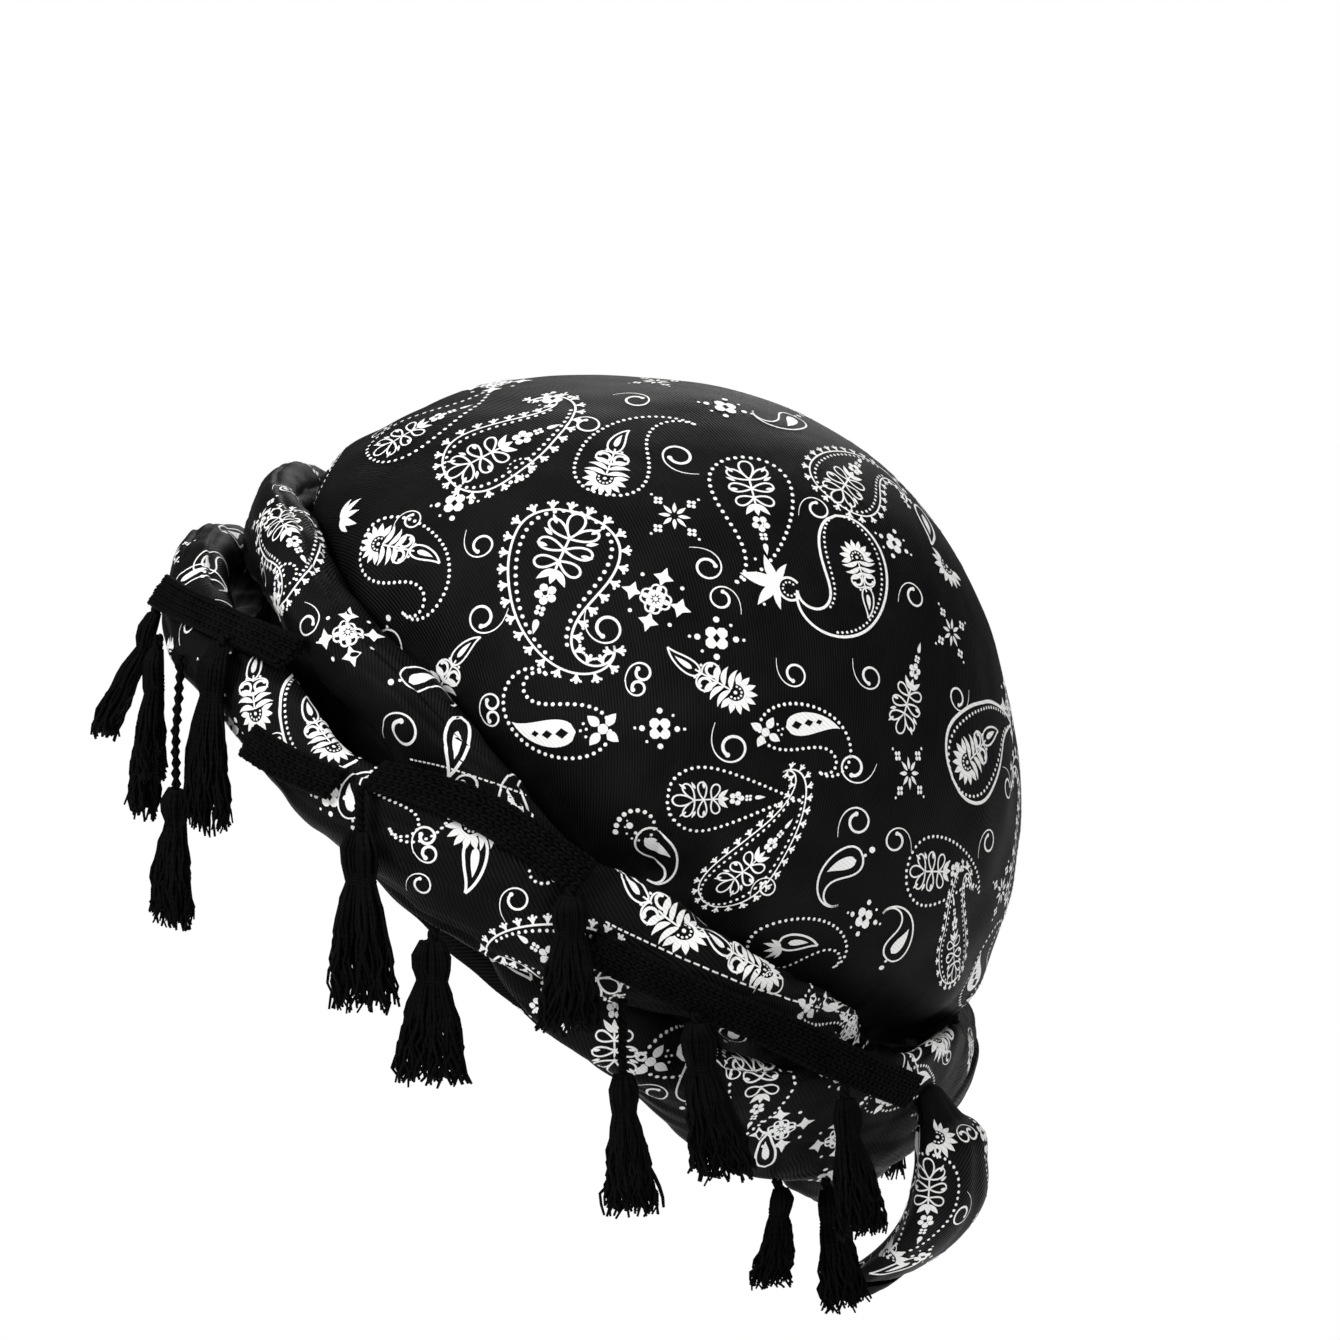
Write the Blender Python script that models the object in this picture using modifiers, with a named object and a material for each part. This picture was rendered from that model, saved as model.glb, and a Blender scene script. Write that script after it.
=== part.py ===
# Twisted turban hat: a soft domed cap in printed cloth with a satin lining, a band of two
# cloth strands twisted round it, crocheted braid along the strands' edges with tassels, and
# a rolled scarf end at the nape. Metres, +Z up. The wearer faces -Y, and their left is +X.
# The hat sits tilted as it is worn, low at the nape. The origin is the middle of the rim,
# where the head goes in.

import math

import bmesh
import bpy
import numpy as np

# Head and tilt
head_half_length = 0.100
head_half_width = 0.082
worn_tilt = math.radians(40)

# Cap
crown_rise = 0.1325
crown_wall = 0.0012
lining_wall = 0.0009
hem_wall = 0.0009
layer_gap = 0.0005
lining_slack = 0.0068
lining_gathers = 9
lining_gather_depth = 0.0012
hem_drop_front = 0.0200
hem_drop_side = 0.0265
hem_drop_back = 0.0240
hem_height = 0.0150
hem_inner_height = 0.0110

# Heights as shares of crown_rise: how gently a fold starts, where the lining comes loose
# and where it begins to sag
fold_start_share = 0.08
lining_held_share = -0.10
lining_loose_share = 0.10
lining_sag_share = 0.30

# Twisted band
band_gap = 0.0007
band_half_height_front = 0.0270
band_half_height_side = 0.0245
band_half_height_back = 0.0320
band_half_depth_front = 0.0145
band_half_depth_side = 0.0130
band_half_depth_back = 0.0140
strand_offset_share = 0.50
strand_thickness_share = 0.465
strand_breadth_share = 0.80
strand_fold_share = 0.10
strand_folds = 3

# Trim
braid_width = 0.0100
braid_thickness = 0.0020
trim_gap = 0.00045
seat_reach = 0.0012
hang_reach = 0.0300
window_share = 0.8
braid_turn = 4.0
seat_turn = 2.0
tassel_length = 0.0400
tassel_breadth = 0.0200
tassel_thickness = 0.0075
tassel_neck = 0.0031
tassel_lock_share = 0.10
tassel_locks = 4
tassel_fullness = 1.25
long_cord_share = 0.25
cord_breadth_share = 0.16

# Scarf end at the nape
tail_angle = 156.0
tail_top = 0.0120
tail_length = 0.0480
tail_width = 0.0290
tail_thickness = 0.0170
tail_end_length = 0.0090
tail_end_overhang = 0.0006
tail_fold_share = 0.08
tail_folds = 3

# Mesh fineness
around_crown = 50
up_crown = 13
around_lining = 36
up_lining = 10
around_band = 72
around_hem = 36
round_strand = 14
round_tassel = 8
round_tail = 10
up_tail = 10
braid_steps = 3
braid_places = (-0.5, 0.0, 0.5)

rearward = np.array([0.0, math.cos(worn_tilt), -math.sin(worn_tilt)])
leftward = np.array([1.0, 0.0, 0.0])
crownward = np.array([0.0, math.sin(worn_tilt), math.cos(worn_tilt)])
upward = np.array([0.0, 0.0, 1.0])

# The cap's outline: height as a share of crown_rise (below 0, of the hem's drop), and reach
# as a share of the head's half length and half width. It springs out over the band.
crown_outline = (
    # height, reach
    (-0.94, 1.000),
    (-0.45, 1.000),
    (0.04, 1.004),
    (0.13, 1.050),
    (0.215, 1.110),
    (0.30, 1.118),
    (0.385, 1.080),
    (0.455, 1.040),
    (0.54, 0.980),
    (0.63, 0.895),
    (0.725, 0.775),
    (0.84, 0.590),
    (0.91, 0.450),
    (0.97, 0.250),
    (1.00, 0.000),
)

# Folds pressed into the cap: angle round from the front and width in degrees, depth as a
# share of head_half_width, the heights between which it shows as shares of crown_rise, and
# how far it drifts round, in degrees, over the whole rise.
crown_folds = (
    # angle, width, depth, low, high, drift
    (98.0, 6.0, 0.055, 0.12, 0.62, 18.0),
    (113.0, 7.5, 0.045, 0.14, 0.60, -30.0),
    (132.0, 6.0, 0.040, 0.14, 0.46, -16.0),
    (149.0, 6.0, 0.045, 0.14, 0.42, -10.0),
    (165.0, 6.0, 0.050, 0.14, 0.46, 0.0),
    (182.0, 6.0, 0.050, 0.14, 0.50, 6.0),
    (206.0, 6.5, 0.045, 0.14, 0.44, 10.0),
    (237.0, 7.0, 0.040, 0.14, 0.50, 18.0),
    (268.0, 7.0, 0.045, 0.12, 0.54, -18.0),
    (302.0, 7.0, 0.035, 0.12, 0.40, 12.0),
    (52.0, 7.0, 0.030, 0.14, 0.38, 14.0),
)

# How the two strands wind round each other: the turn of the pair, in degrees, at angles
# round from the front. Two whole turns bring each strand back to its start.
twist = (
    # angle, turn
    (0.0, -58.0),
    (32.0, -80.0),
    (61.0, -80.0),
    (90.0, 0.0),
    (127.0, 130.0),
    (155.0, 210.0),
    (180.0, 270.0),
    (220.0, 350.0),
    (270.0, 450.0),
    (310.0, 560.0),
    (335.0, 630.0),
)
twist_total = 720.0
twist_smoothing = 14.0

# Slits between the strands: angle and width in degrees, and how much further apart the
# strands stand there, as a share of the band's half height and half depth.
slits = (
    # angle, width, spread
    (24.0, 13.0, 0.13),
    (60.0, 9.0, 0.12),
)

# Braid strips over the band: a row of angles in degrees and heights, as shares of the
# band's half height, along each strip's middle.
braids = {
    "braid_front": ((17.0, -0.62), (26.0, -0.42), (36.0, -0.12), (47.0, 0.22)),
    "braid_front_low": ((50.0, -0.78), (57.0, -0.62), (64.0, -0.36)),
    "braid_side": ((66.0, -0.02), (72.0, 0.28), (79.0, 0.52), (86.0, 0.64), (93.0, 0.70)),
    "braid_back": ((97.0, 0.16), (104.0, 0.28), (114.0, 0.44), (126.0, 0.56), (139.0, 0.60), (150.0, 0.58)),
    "braid_right": ((-38.0, 0.50), (-50.0, 0.30), (-62.0, 0.00), (-74.0, -0.24), (-84.0, -0.36)),
    "braid_right_back": ((-98.0, 0.46), (-112.0, 0.50), (-127.0, 0.36), (-142.0, 0.10), (-152.0, -0.10)),
}

# Tassels: angle in degrees of the place that each hangs from, its height there as a share
# of the band's half height, the cord above its head and its length as shares of
# tassel_length, its breadth at the foot as a share of tassel_breadth, and how far its foot
# drifts sideways (towards the nape on the left side) and stands out, as shares of tassel_length.
tassels = (
    # name, angle, height, cord, length, breadth, drift, kick
    ("tassel_front_a", 9.0, -0.86, 0.05, 0.850, 0.95, -0.250, 0.30),
    ("tassel_front_b", 16.0, -1.00, 0.15, 1.050, 0.70, 0.000, 0.05),
    ("tassel_front_c", 25.0, -0.95, 0.05, 0.850, 0.60, 0.000, 0.00),
    ("tassel_front_d", 33.0, -1.00, 0.75, 0.875, 1.00, 0.000, 0.00),
    ("tassel_front_e", 39.0, -0.12, 0.07, 1.175, 1.05, 0.000, 0.00),
    ("tassel_left_a", 65.0, -0.10, 0.30, 1.125, 1.05, 0.050, 0.00),
    ("tassel_left_b", 85.0, -1.02, 0.07, 0.900, 1.00, 0.000, 0.00),
    ("tassel_left_c", 93.5, 0.56, 0.05, 0.850, 0.90, 0.000, 0.00),
    ("tassel_left_d", 107.0, -0.10, 0.50, 0.875, 0.70, 0.050, 0.00),
    ("tassel_left_e", 113.5, 0.30, 0.07, 1.000, 0.90, 0.175, 0.00),
    ("tassel_back_a", 136.0, 0.46, 0.10, 0.900, 0.80, 0.100, 0.00),
    ("tassel_back_b", 147.5, -0.58, 0.07, 0.775, 0.80, 0.050, 0.05),
    ("tassel_back_c", 143.0, -0.96, 0.05, 0.600, 0.65, -0.150, 0.00),
    ("tassel_right_a", -40.0, 0.36, 0.07, 1.050, 0.90, 0.000, 0.00),
    ("tassel_right_b", -66.0, -0.20, 0.07, 1.150, 0.95, -0.075, 0.00),
    ("tassel_right_c", -84.0, -0.55, 0.10, 1.100, 0.90, 0.075, 0.00),
    ("tassel_right_d", -112.0, 0.30, 0.07, 1.100, 0.95, 0.100, 0.00),
    ("tassel_right_e", -142.0, -0.06, 0.10, 1.050, 0.90, -0.100, 0.00),
)

# A tassel's outline: how far down it, as a share of its length, and its half breadth and
# half thickness there as shares of those at the foot. The head swells above a bound neck.
tassel_outline = (
    # down, share
    (0.00, 0.30),
    (0.08, 0.52),
    (0.20, 0.50),
    (0.28, 0.38),
    (0.42, 0.60),
    (0.72, 0.86),
    (1.00, 1.00),
)

# The scarf end's shape: how far down it, as a share of its length, its breadth and
# thickness as shares of their named sizes, and how far it curls in under the nape, as a
# share of tail_length.
tail_outline = (
    # down, breadth, thickness, curl
    (0.00, 0.60, 0.60, 0.00),
    (0.10, 0.94, 0.95, 0.00),
    (0.30, 1.05, 1.02, 0.00),
    (0.50, 1.05, 1.00, 0.01),
    (0.68, 1.02, 0.94, 0.09),
    (0.84, 0.95, 0.88, 0.23),
    (1.00, 0.86, 0.80, 0.44),
)

# The sleeve over the scarf end's tip: how far down it, as a share of tail_end_length, its
# size as a share of the tip's, and how much of tail_end_overhang it stands out.
tail_end_outline = (
    # down, size, overhang
    (0.00, 1.00, 0.0),
    (0.15, 1.00, 1.0),
    (0.80, 1.00, 1.0),
    (1.00, 0.86, 0.0),
)

cap_thickness = hem_wall + 3 * layer_gap + lining_wall + crown_wall + hem_wall


def clear_scene():
    for obj in list(bpy.data.objects):
        bpy.data.objects.remove(obj, do_unlink=True)


def make_material(name, color, roughness):
    material = bpy.data.materials.new(name)
    material.use_nodes = True
    shader = material.node_tree.nodes["Principled BSDF"]
    shader.inputs["Base Color"].default_value = (*color, 1.0)
    shader.inputs["Roughness"].default_value = roughness
    shader.inputs["Metallic"].default_value = 0.0
    material.diffuse_color = (*color, 1.0)
    return material


def add_mesh(name, points, faces, material, collection):
    mesh = bpy.data.meshes.new(name)
    mesh.from_pydata([tuple(p) for p in points], [], faces)
    mesh.materials.append(material)
    mesh.shade_smooth()
    obj = bpy.data.objects.new(name, mesh)
    collection.objects.link(obj)
    return obj


def face_outwards(obj):
    """Merges doubled points and turns every face of a closed body outwards."""
    work = bmesh.new()
    work.from_mesh(obj.data)
    bmesh.ops.remove_doubles(work, verts=work.verts, dist=1e-6)
    bmesh.ops.recalc_face_normals(work, faces=work.faces)
    work.to_mesh(obj.data)
    work.free()


def loft(name, rings, material, collection, ring_path_closed=False):
    """A closed body through rings of equal point counts, capped unless the path is closed."""
    count, size, _ = rings.shape
    points = rings.reshape(-1, 3)
    faces = []
    last = count if ring_path_closed else count - 1
    for i in range(last):
        here = i * size
        there = ((i + 1) % count) * size
        for j in range(size):
            k = (j + 1) % size
            faces.append((here + j, here + k, there + k, there + j))
    if not ring_path_closed:
        faces.append(tuple(range(size)))
        faces.append(tuple((count - 1) * size + j for j in range(size)))
    obj = add_mesh(name, points, faces, material, collection)
    face_outwards(obj)
    return obj


def around(front, side, back, angle):
    """A size that has these values at the front, both sides and the back, eased between."""
    ends = (front + back) / 2
    return (ends + side) / 2 + (front - back) / 2 * np.cos(angle) + (ends - side) / 2 * np.cos(2 * angle)


def hat_point(angle, out, height):
    """The point at an angle round from the front, out from the head's ellipse and up from the rim."""
    angle, out, height = np.broadcast_arrays(angle, out, height)
    rear = -(head_half_length + out) * np.cos(angle)
    left = (head_half_width + out) * np.sin(angle)
    return rear[..., None] * rearward + left[..., None] * leftward + height[..., None] * crownward


def outline_at(rows, share, level_end=False):
    """Catmull-Rom through a table's rows, at shares from 0 to 1 of its length."""
    table = np.array(rows, float)
    first = 2 * table[0] - table[1]
    last = table[-2] * (1, -1) if level_end else 2 * table[-1] - table[-2]
    table = np.vstack([first, table, last])
    spans = len(rows) - 1
    place = np.clip(share, 0, 1) * spans
    index = np.minimum(place.astype(int), spans - 1)
    u = (place - index)[..., None]
    a, b, c, d = (table[index + k] for k in range(4))
    bend = 2 * a - 5 * b + 4 * c - d
    twisting = 3 * b - a - 3 * c + d
    return 0.5 * (2 * b + (c - a) * u + bend * u**2 + twisting * u**3)


def cap_point(angle, height, reach, out):
    """A point of a cap layer at a share of the rise, a share of the reach and a distance out."""
    drop = around(hem_drop_front, hem_drop_side, hem_drop_back, angle)
    rise = np.where(height < 0, height * drop, height * crown_rise)
    out = out * np.minimum(reach, 1)
    rear = -(head_half_length * reach + out) * np.cos(angle)
    left = (head_half_width * reach + out) * np.sin(angle)
    return rear[..., None] * rearward + left[..., None] * leftward + rise[..., None] * crownward


def crown_surface(angle, share):
    """The cap's cloth at an angle round from the front and a share of the way from hem to top."""
    angle, share = np.broadcast_arrays(angle, share)
    outline = outline_at(crown_outline, share, level_end=True)
    height, reach = outline[..., 0], np.maximum(outline[..., 1], 0)
    degrees = np.degrees(angle)
    pressed = np.zeros_like(height)
    for place, width, depth, low, high, drift in crown_folds:
        apart = (degrees - place - drift * height + 180) % 360 - 180
        risen = np.clip((height - low) / fold_start_share, 0, 1)
        fallen = np.clip((high - height) / (high - low), 0, 1)
        pressed = pressed + depth * np.exp(-((apart / width) ** 2)) * risen * fallen
    base = cap_thickness - hem_wall - layer_gap - crown_wall
    return cap_point(angle, height, reach, base - pressed * head_half_width)


def lining_surface(angle, share):
    """The lining: tight in the hem, and hanging loose in shallow gathers above it."""
    angle, share = np.broadcast_arrays(angle, share)
    outline = outline_at(crown_outline, share)
    height, reach = outline[..., 0], np.maximum(outline[..., 1], 0)
    loose = np.clip((height - lining_held_share) / (lining_loose_share - lining_held_share), 0, 1)
    gather = lining_gather_depth * np.cos(lining_gathers * angle) * np.clip(reach * 4 * (1 - reach), 0, 1)
    points = cap_point(angle, height, reach, hem_wall + layer_gap - loose * (lining_slack + gather))
    lowered = lining_slack * np.clip((height - lining_sag_share) / (1 - lining_sag_share), 0, 1)
    return points - lowered[..., None] * crownward


def cap_shell(name, surface, turns, levels, wall, material, collection):
    """An open cloth surface, closed at its top by one point, thickened outwards."""
    angle = np.linspace(0, 2 * math.pi, turns, endpoint=False)[:, None]
    share = np.linspace(0, 1, levels + 1)[None, :-1]
    points = surface(angle, share)
    flat = list(points.reshape(-1, 3)) + [surface(np.array(0.0), np.array(1.0))]
    tip = len(flat) - 1
    faces = []
    for i in range(turns):
        k = (i + 1) % turns
        for j in range(levels - 1):
            faces.append((i * levels + j, k * levels + j, k * levels + j + 1, i * levels + j + 1))
        faces.append((i * levels + levels - 1, k * levels + levels - 1, tip))
    obj = add_mesh(name, flat, faces, material, collection)
    solidify = obj.modifiers.new("cloth", "SOLIDIFY")
    solidify.thickness = wall
    solidify.offset = 1.0
    solidify.use_even_offset = True
    return obj


def pair_turn(angle):
    """How far the pair of strands has turned at an angle round the head, in radians."""
    table = np.array(twist)
    places = np.concatenate([table[:, 0] - 360, table[:, 0], table[:, 0] + 360])
    turns = np.concatenate([table[:, 1] - twist_total, table[:, 1], table[:, 1] + twist_total])
    degrees = np.degrees(angle) % 360
    shifts = np.linspace(-twist_smoothing, twist_smoothing, 9)
    return np.radians(sum(np.interp(degrees + s, places, turns) for s in shifts) / len(shifts))


def cap_bulge(height):
    """How far out the cap's cloth reaches at a height above the rim."""
    outline = outline_at(crown_outline, np.linspace(0, 0.5, 60))
    reach = np.interp(height, outline[:, 0] * crown_rise, outline[:, 1])
    return cap_thickness + (reach - 1) * head_half_length


def band_half_height(angle):
    return around(band_half_height_front, band_half_height_side, band_half_height_back, angle)


def band_half_depth(angle):
    return around(band_half_depth_front, band_half_depth_side, band_half_depth_back, angle)


def strand_surface(which, angle, turn):
    """A strand's cloth: a flattened roll, half of a round pair that turns as it goes."""
    angle, turn = np.broadcast_arrays(angle, turn)
    pair = pair_turn(angle) + which * math.pi
    offset = np.full(angle.shape, strand_offset_share)
    for place, width, spread in slits:
        apart = (np.degrees(angle) - place + 180) % 360 - 180
        offset = offset + spread * np.exp(-((apart / width) ** 2))
    crease = 1 - strand_fold_share * (0.5 + 0.5 * np.cos(strand_folds * turn + 2 * angle + which))
    lengthwise = offset + strand_thickness_share * crease * np.cos(turn)
    crosswise = strand_breadth_share * crease * np.sin(turn)
    x = lengthwise * np.cos(pair) - crosswise * np.sin(pair)
    y = lengthwise * np.sin(pair) + crosswise * np.cos(pair)
    height = band_half_height(angle) * y
    out = cap_thickness + band_gap + band_half_depth(angle) * (1 + x)
    return hat_point(angle, np.maximum(out, cap_bulge(height) + band_gap), height)


def band_samples():
    """Points all over both strands, with their angle, height and distance out."""
    angle = np.radians(np.arange(0, 360, 1.0))[:, None]
    turn = np.radians(np.arange(0, 360, 6.0))[None, :]
    rows = []
    for which in (0, 1):
        points = strand_surface(which, angle, turn)
        height = points @ crownward
        left = points @ leftward
        rear = points @ rearward
        spread = np.broadcast_to(angle, height.shape)
        side = np.abs(np.sin(spread)) > 0.5
        out_left = left / np.where(side, np.sin(spread), 1) - head_half_width
        out_rear = -rear / np.where(side, 1, np.cos(spread)) - head_half_length
        out = np.where(side, out_left, out_rear)
        row = np.stack([np.degrees(spread), height, out, *np.moveaxis(points, -1, 0)], -1)
        rows.append(row.reshape(-1, 6))
    return np.concatenate(rows)


def proud_of_band(samples, degrees, height, half_turn, half_height):
    """How far out the band's cloth stands near a place on it."""
    apart = (samples[:, 0] - degrees + 180) % 360 - 180
    near = (np.abs(apart) <= half_turn) & (np.abs(samples[:, 1] - height) <= half_height)
    return samples[near, 2].max() if near.any() else cap_thickness + band_gap


def make_hem(material, collection):
    """A folded strip whose channel holds the lower edges of the cap and the lining."""
    angle = np.linspace(0, 2 * math.pi, around_hem, endpoint=False)
    drop = around(hem_drop_front, hem_drop_side, hem_drop_back, angle)
    inner_slot = hem_wall
    outer_slot = cap_thickness - hem_wall
    section = (
        # out, height above the hem's foot
        (0.0, 0.0),
        (0.0, hem_inner_height),
        (inner_slot, hem_inner_height),
        (inner_slot, hem_wall),
        (outer_slot, hem_wall),
        (outer_slot, hem_height),
        (cap_thickness, hem_height),
        (cap_thickness, 0.0),
    )
    rings = []
    for out, height in section:
        rings.append(hat_point(angle, out, height - drop - 2 * hem_wall))
    return loft("rim_hem", np.stack(rings, 1), material, collection, ring_path_closed=True)


def make_strand(name, which, material, collection):
    angle = np.linspace(0, 2 * math.pi, around_band, endpoint=False)[:, None]
    turn = np.linspace(0, 2 * math.pi, round_strand, endpoint=False)[None, :]
    return loft(name, strand_surface(which, angle, turn), material, collection, ring_path_closed=True)


def face_samples(degrees, heights, lay):
    """Close-set points over a strip's outer face, as band_samples lists them."""
    rows = []
    for turn_share in np.linspace(0, 1, 5)[:-1]:
        for rise_share in np.linspace(0, 1, 5):
            first, second = 1 - turn_share, turn_share
            turned = degrees[:-1] * first + degrees[1:] * second
            high = heights[:-1] * first + heights[1:] * second
            out = lay[:-1] * first + lay[1:] * second
            low_h, high_h = high[:, :-1], high[:, 1:]
            h = low_h * (1 - rise_share) + high_h * rise_share
            o = out[:, :-1] * (1 - rise_share) + out[:, 1:] * rise_share
            d = np.broadcast_to(turned[:, None], h.shape)
            points = hat_point(np.radians(d), o, h)
            rows.append(np.stack([d, h, o, *np.moveaxis(points, -1, 0)], -1).reshape(-1, 6))
    return np.concatenate(rows)


def make_braid(name, rows, samples, material, collection):
    """A flat strip laid over the band's cloth. Returns points of its outer face."""
    steps = braid_steps * (len(rows) - 1) + 1
    middle = outline_at(rows, np.linspace(0, 1, steps))
    lay = np.zeros((steps, len(braid_places)))
    heights = np.zeros_like(lay)
    for i, (degrees, share) in enumerate(middle):
        angle = np.radians(degrees)
        for j, place in enumerate(braid_places):
            heights[i, j] = share * band_half_height(angle) + place * braid_width
            lay[i, j] = proud_of_band(samples, degrees, heights[i, j], braid_turn, braid_width / 4)
    raised = lay.copy()
    for shift in (-1, 1):
        moved = np.roll(lay, shift, axis=0)
        moved[0 if shift == 1 else -1] = lay[0 if shift == 1 else -1]
        raised = np.maximum(raised, moved)
    calm = raised.copy()
    calm[1:-1] = (raised[:-2] + raised[1:-1] + raised[2:]) / 3
    lay = np.maximum(calm, lay) + trim_gap
    angle = np.radians(middle[:, 0])[:, None]
    under = hat_point(angle, lay, heights)
    over = hat_point(angle, lay + braid_thickness, heights)
    rings = np.concatenate([under, over[:, ::-1]], axis=1)
    loft(name, rings, material, collection)
    return face_samples(middle[:, 0], heights, lay + braid_thickness)


def outward_at(angle):
    """The level direction straight out from the band at an angle, and the one beside it."""
    near = hat_point(np.array(angle), np.array(0.0), np.array(0.0))
    step = hat_point(np.array(angle), np.array(band_half_depth_front), np.array(0.0)) - near
    step[2] = 0
    out = step / np.linalg.norm(step)
    return out, np.cross(upward, out)


def seat_on(samples, degrees, height):
    """The outermost place on the band at an angle, as near as it goes to a height."""
    apart = np.abs((samples[:, 0] - degrees + 180) % 360 - 180)
    near = samples[apart <= seat_turn]
    off = np.abs(near[:, 1] - height)
    near = near[off <= off.min() + seat_reach]
    return near[np.argmax(near[:, 2]), 3:]


def hung_path(cloud, start, out, beside, levels, sideways, half_breadth, half_thickness):
    """The middle of a limp thing at each level: it lies on what is under it, then hangs."""
    flat = cloud @ out
    across = (cloud - start) @ beside
    held = start @ out
    path = []
    reach = held
    last = len(levels) - 1
    for i in range(len(levels)):
        above = levels[max(i - 1, 0)]
        below = levels[min(i + 1, last)]
        near = (cloud[:, 2] <= above) & (cloud[:, 2] >= below)
        near &= np.abs(across - sideways[i]) < window_share * half_breadth + trim_gap
        near &= flat > held - hang_reach
        if i > 0 and near.any():
            reach = max(reach, flat[near].max())
        path.append(reach)
    distance = np.array(path) + trim_gap + half_thickness - held
    middle = start + distance[:, None] * out + np.asarray(sideways)[:, None] * beside
    middle[:, 2] = levels
    return middle


def make_tassel(row, samples, cloud, material, collection):
    """A bound head over a flared skirt of locks, hanging from its cord."""
    name, degrees, height_share, *shares = row
    cord, length, drift, kick = (tassel_length * shares[k] for k in (0, 1, 3, 4))
    breadth = tassel_breadth * shares[2]
    angle = math.radians(degrees)
    start = seat_on(samples, degrees, height_share * band_half_height(angle))
    out, beside = outward_at(angle)
    if degrees < 0:
        beside = -beside
    outline = np.array(tassel_outline)
    down = np.concatenate([[0.0], (cord + outline[:, 0] * length)])
    share = np.concatenate([outline[:1, 1], outline[:, 1]])
    if cord > long_cord_share * tassel_length:
        down = np.concatenate([[0.0, cord / 2], down[1:]])
        share = np.concatenate([[cord_breadth_share, cord_breadth_share], outline[:, 1]])
    fall = np.clip(down - cord, 0, None) / length
    wide = np.maximum(breadth / 2 * share, tassel_neck / 2)
    thick = np.maximum(tassel_thickness / 2 * np.minimum(share * tassel_fullness, 1.0), tassel_neck / 2)
    middle = hung_path(cloud, start, out, beside, start[2] - down, drift * fall**1.4, breadth / 2, thick)
    middle = middle + (kick * fall**1.2)[:, None] * out
    turn = np.linspace(0, 2 * math.pi, round_tassel, endpoint=False)
    rings = []
    for i, centre in enumerate(middle):
        lock = 1 - tassel_lock_share * fall[i] * (0.5 + 0.5 * np.cos(tassel_locks * turn + degrees))
        sideways = wide[i] * lock * np.cos(turn)
        outwards = thick[i] * lock * np.sin(turn)
        rings.append(centre + sideways[:, None] * beside + outwards[:, None] * out)
    return loft(name, np.array(rings), material, collection)


def make_tail(samples, cloud, cloth, trim, collection):
    """The scarf's rolled end, hanging at the nape, with a plain sleeve over its tip."""
    angle = math.radians(tail_angle)
    start = seat_on(samples, tail_angle, tail_top)
    out, beside = outward_at(angle)
    table = outline_at(tail_outline, np.linspace(0, 1, up_tail + 1))
    down = table[:, 0] * tail_length
    halves = tail_thickness / 2 * table[:, 2]
    middle = hung_path(cloud, start, out, beside, start[2] - down, 0 * down, tail_width / 2, halves)
    middle = middle - (table[:, 3] * tail_length)[:, None] * out
    turn = np.linspace(0, 2 * math.pi, round_tail, endpoint=False)
    rings = []
    for row, centre in zip(table, middle):
        wide = tail_width / 2 * row[1] * (1 - tail_fold_share * np.cos(tail_folds * (turn + 2 * row[0])))
        thick = tail_thickness / 2 * row[2]
        rings.append(centre + (wide * np.cos(turn))[:, None] * beside + (thick * np.sin(turn))[:, None] * out)
    rings = np.array(rings)
    loft("nape_tail", rings, cloth, collection)
    fall = (middle[-1] - middle[-3]) / np.linalg.norm(middle[-1] - middle[-3])
    tip = rings[-1] + fall * layer_gap
    centre = tip.mean(axis=0)
    sleeve = []
    for place, size, overhang in tail_end_outline:
        swell = size + overhang * tail_end_overhang / (tail_width / 2)
        sleeve.append(centre + (tip - centre) * swell + fall * place * tail_end_length)
    loft("tail_end", np.array(sleeve), trim, collection)
    return rings.reshape(-1, 3)


def main():
    clear_scene()
    collection = bpy.data.collections.new("twisted_turban_hat")
    bpy.context.scene.collection.children.link(collection)
    printed = make_material("printed_cloth", (0.020, 0.020, 0.022), 0.62)
    satin = make_material("satin_lining", (0.008, 0.008, 0.009), 0.32)
    thread = make_material("black_thread", (0.006, 0.006, 0.007), 0.85)
    cap_shell("crown", crown_surface, around_crown, up_crown, crown_wall, printed, collection)
    cap_shell("lining", lining_surface, around_lining, up_lining, lining_wall, satin, collection)
    make_hem(printed, collection)
    make_strand("wrap_strand_a", 0, printed, collection)
    make_strand("wrap_strand_b", 1, printed, collection)
    samples = band_samples()
    faces = []
    for name, rows in braids.items():
        faces.append(make_braid(name, rows, samples, thread, collection))
    samples = np.concatenate([samples] + faces)
    tail_points = make_tail(samples, samples[:, 3:], printed, thread, collection)
    cloud = np.concatenate([samples[:, 3:], tail_points])
    for row in tassels:
        make_tassel(row, samples, cloud, thread, collection)


main()
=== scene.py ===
# The looks of the twisted turban hat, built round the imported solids.
# Metres, +Z up. The wearer faces -Y and their left is +X.
import math

import bpy
import numpy as np
from mathutils import Matrix, Vector
from mathutils.bvhtree import BVHTree


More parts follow.
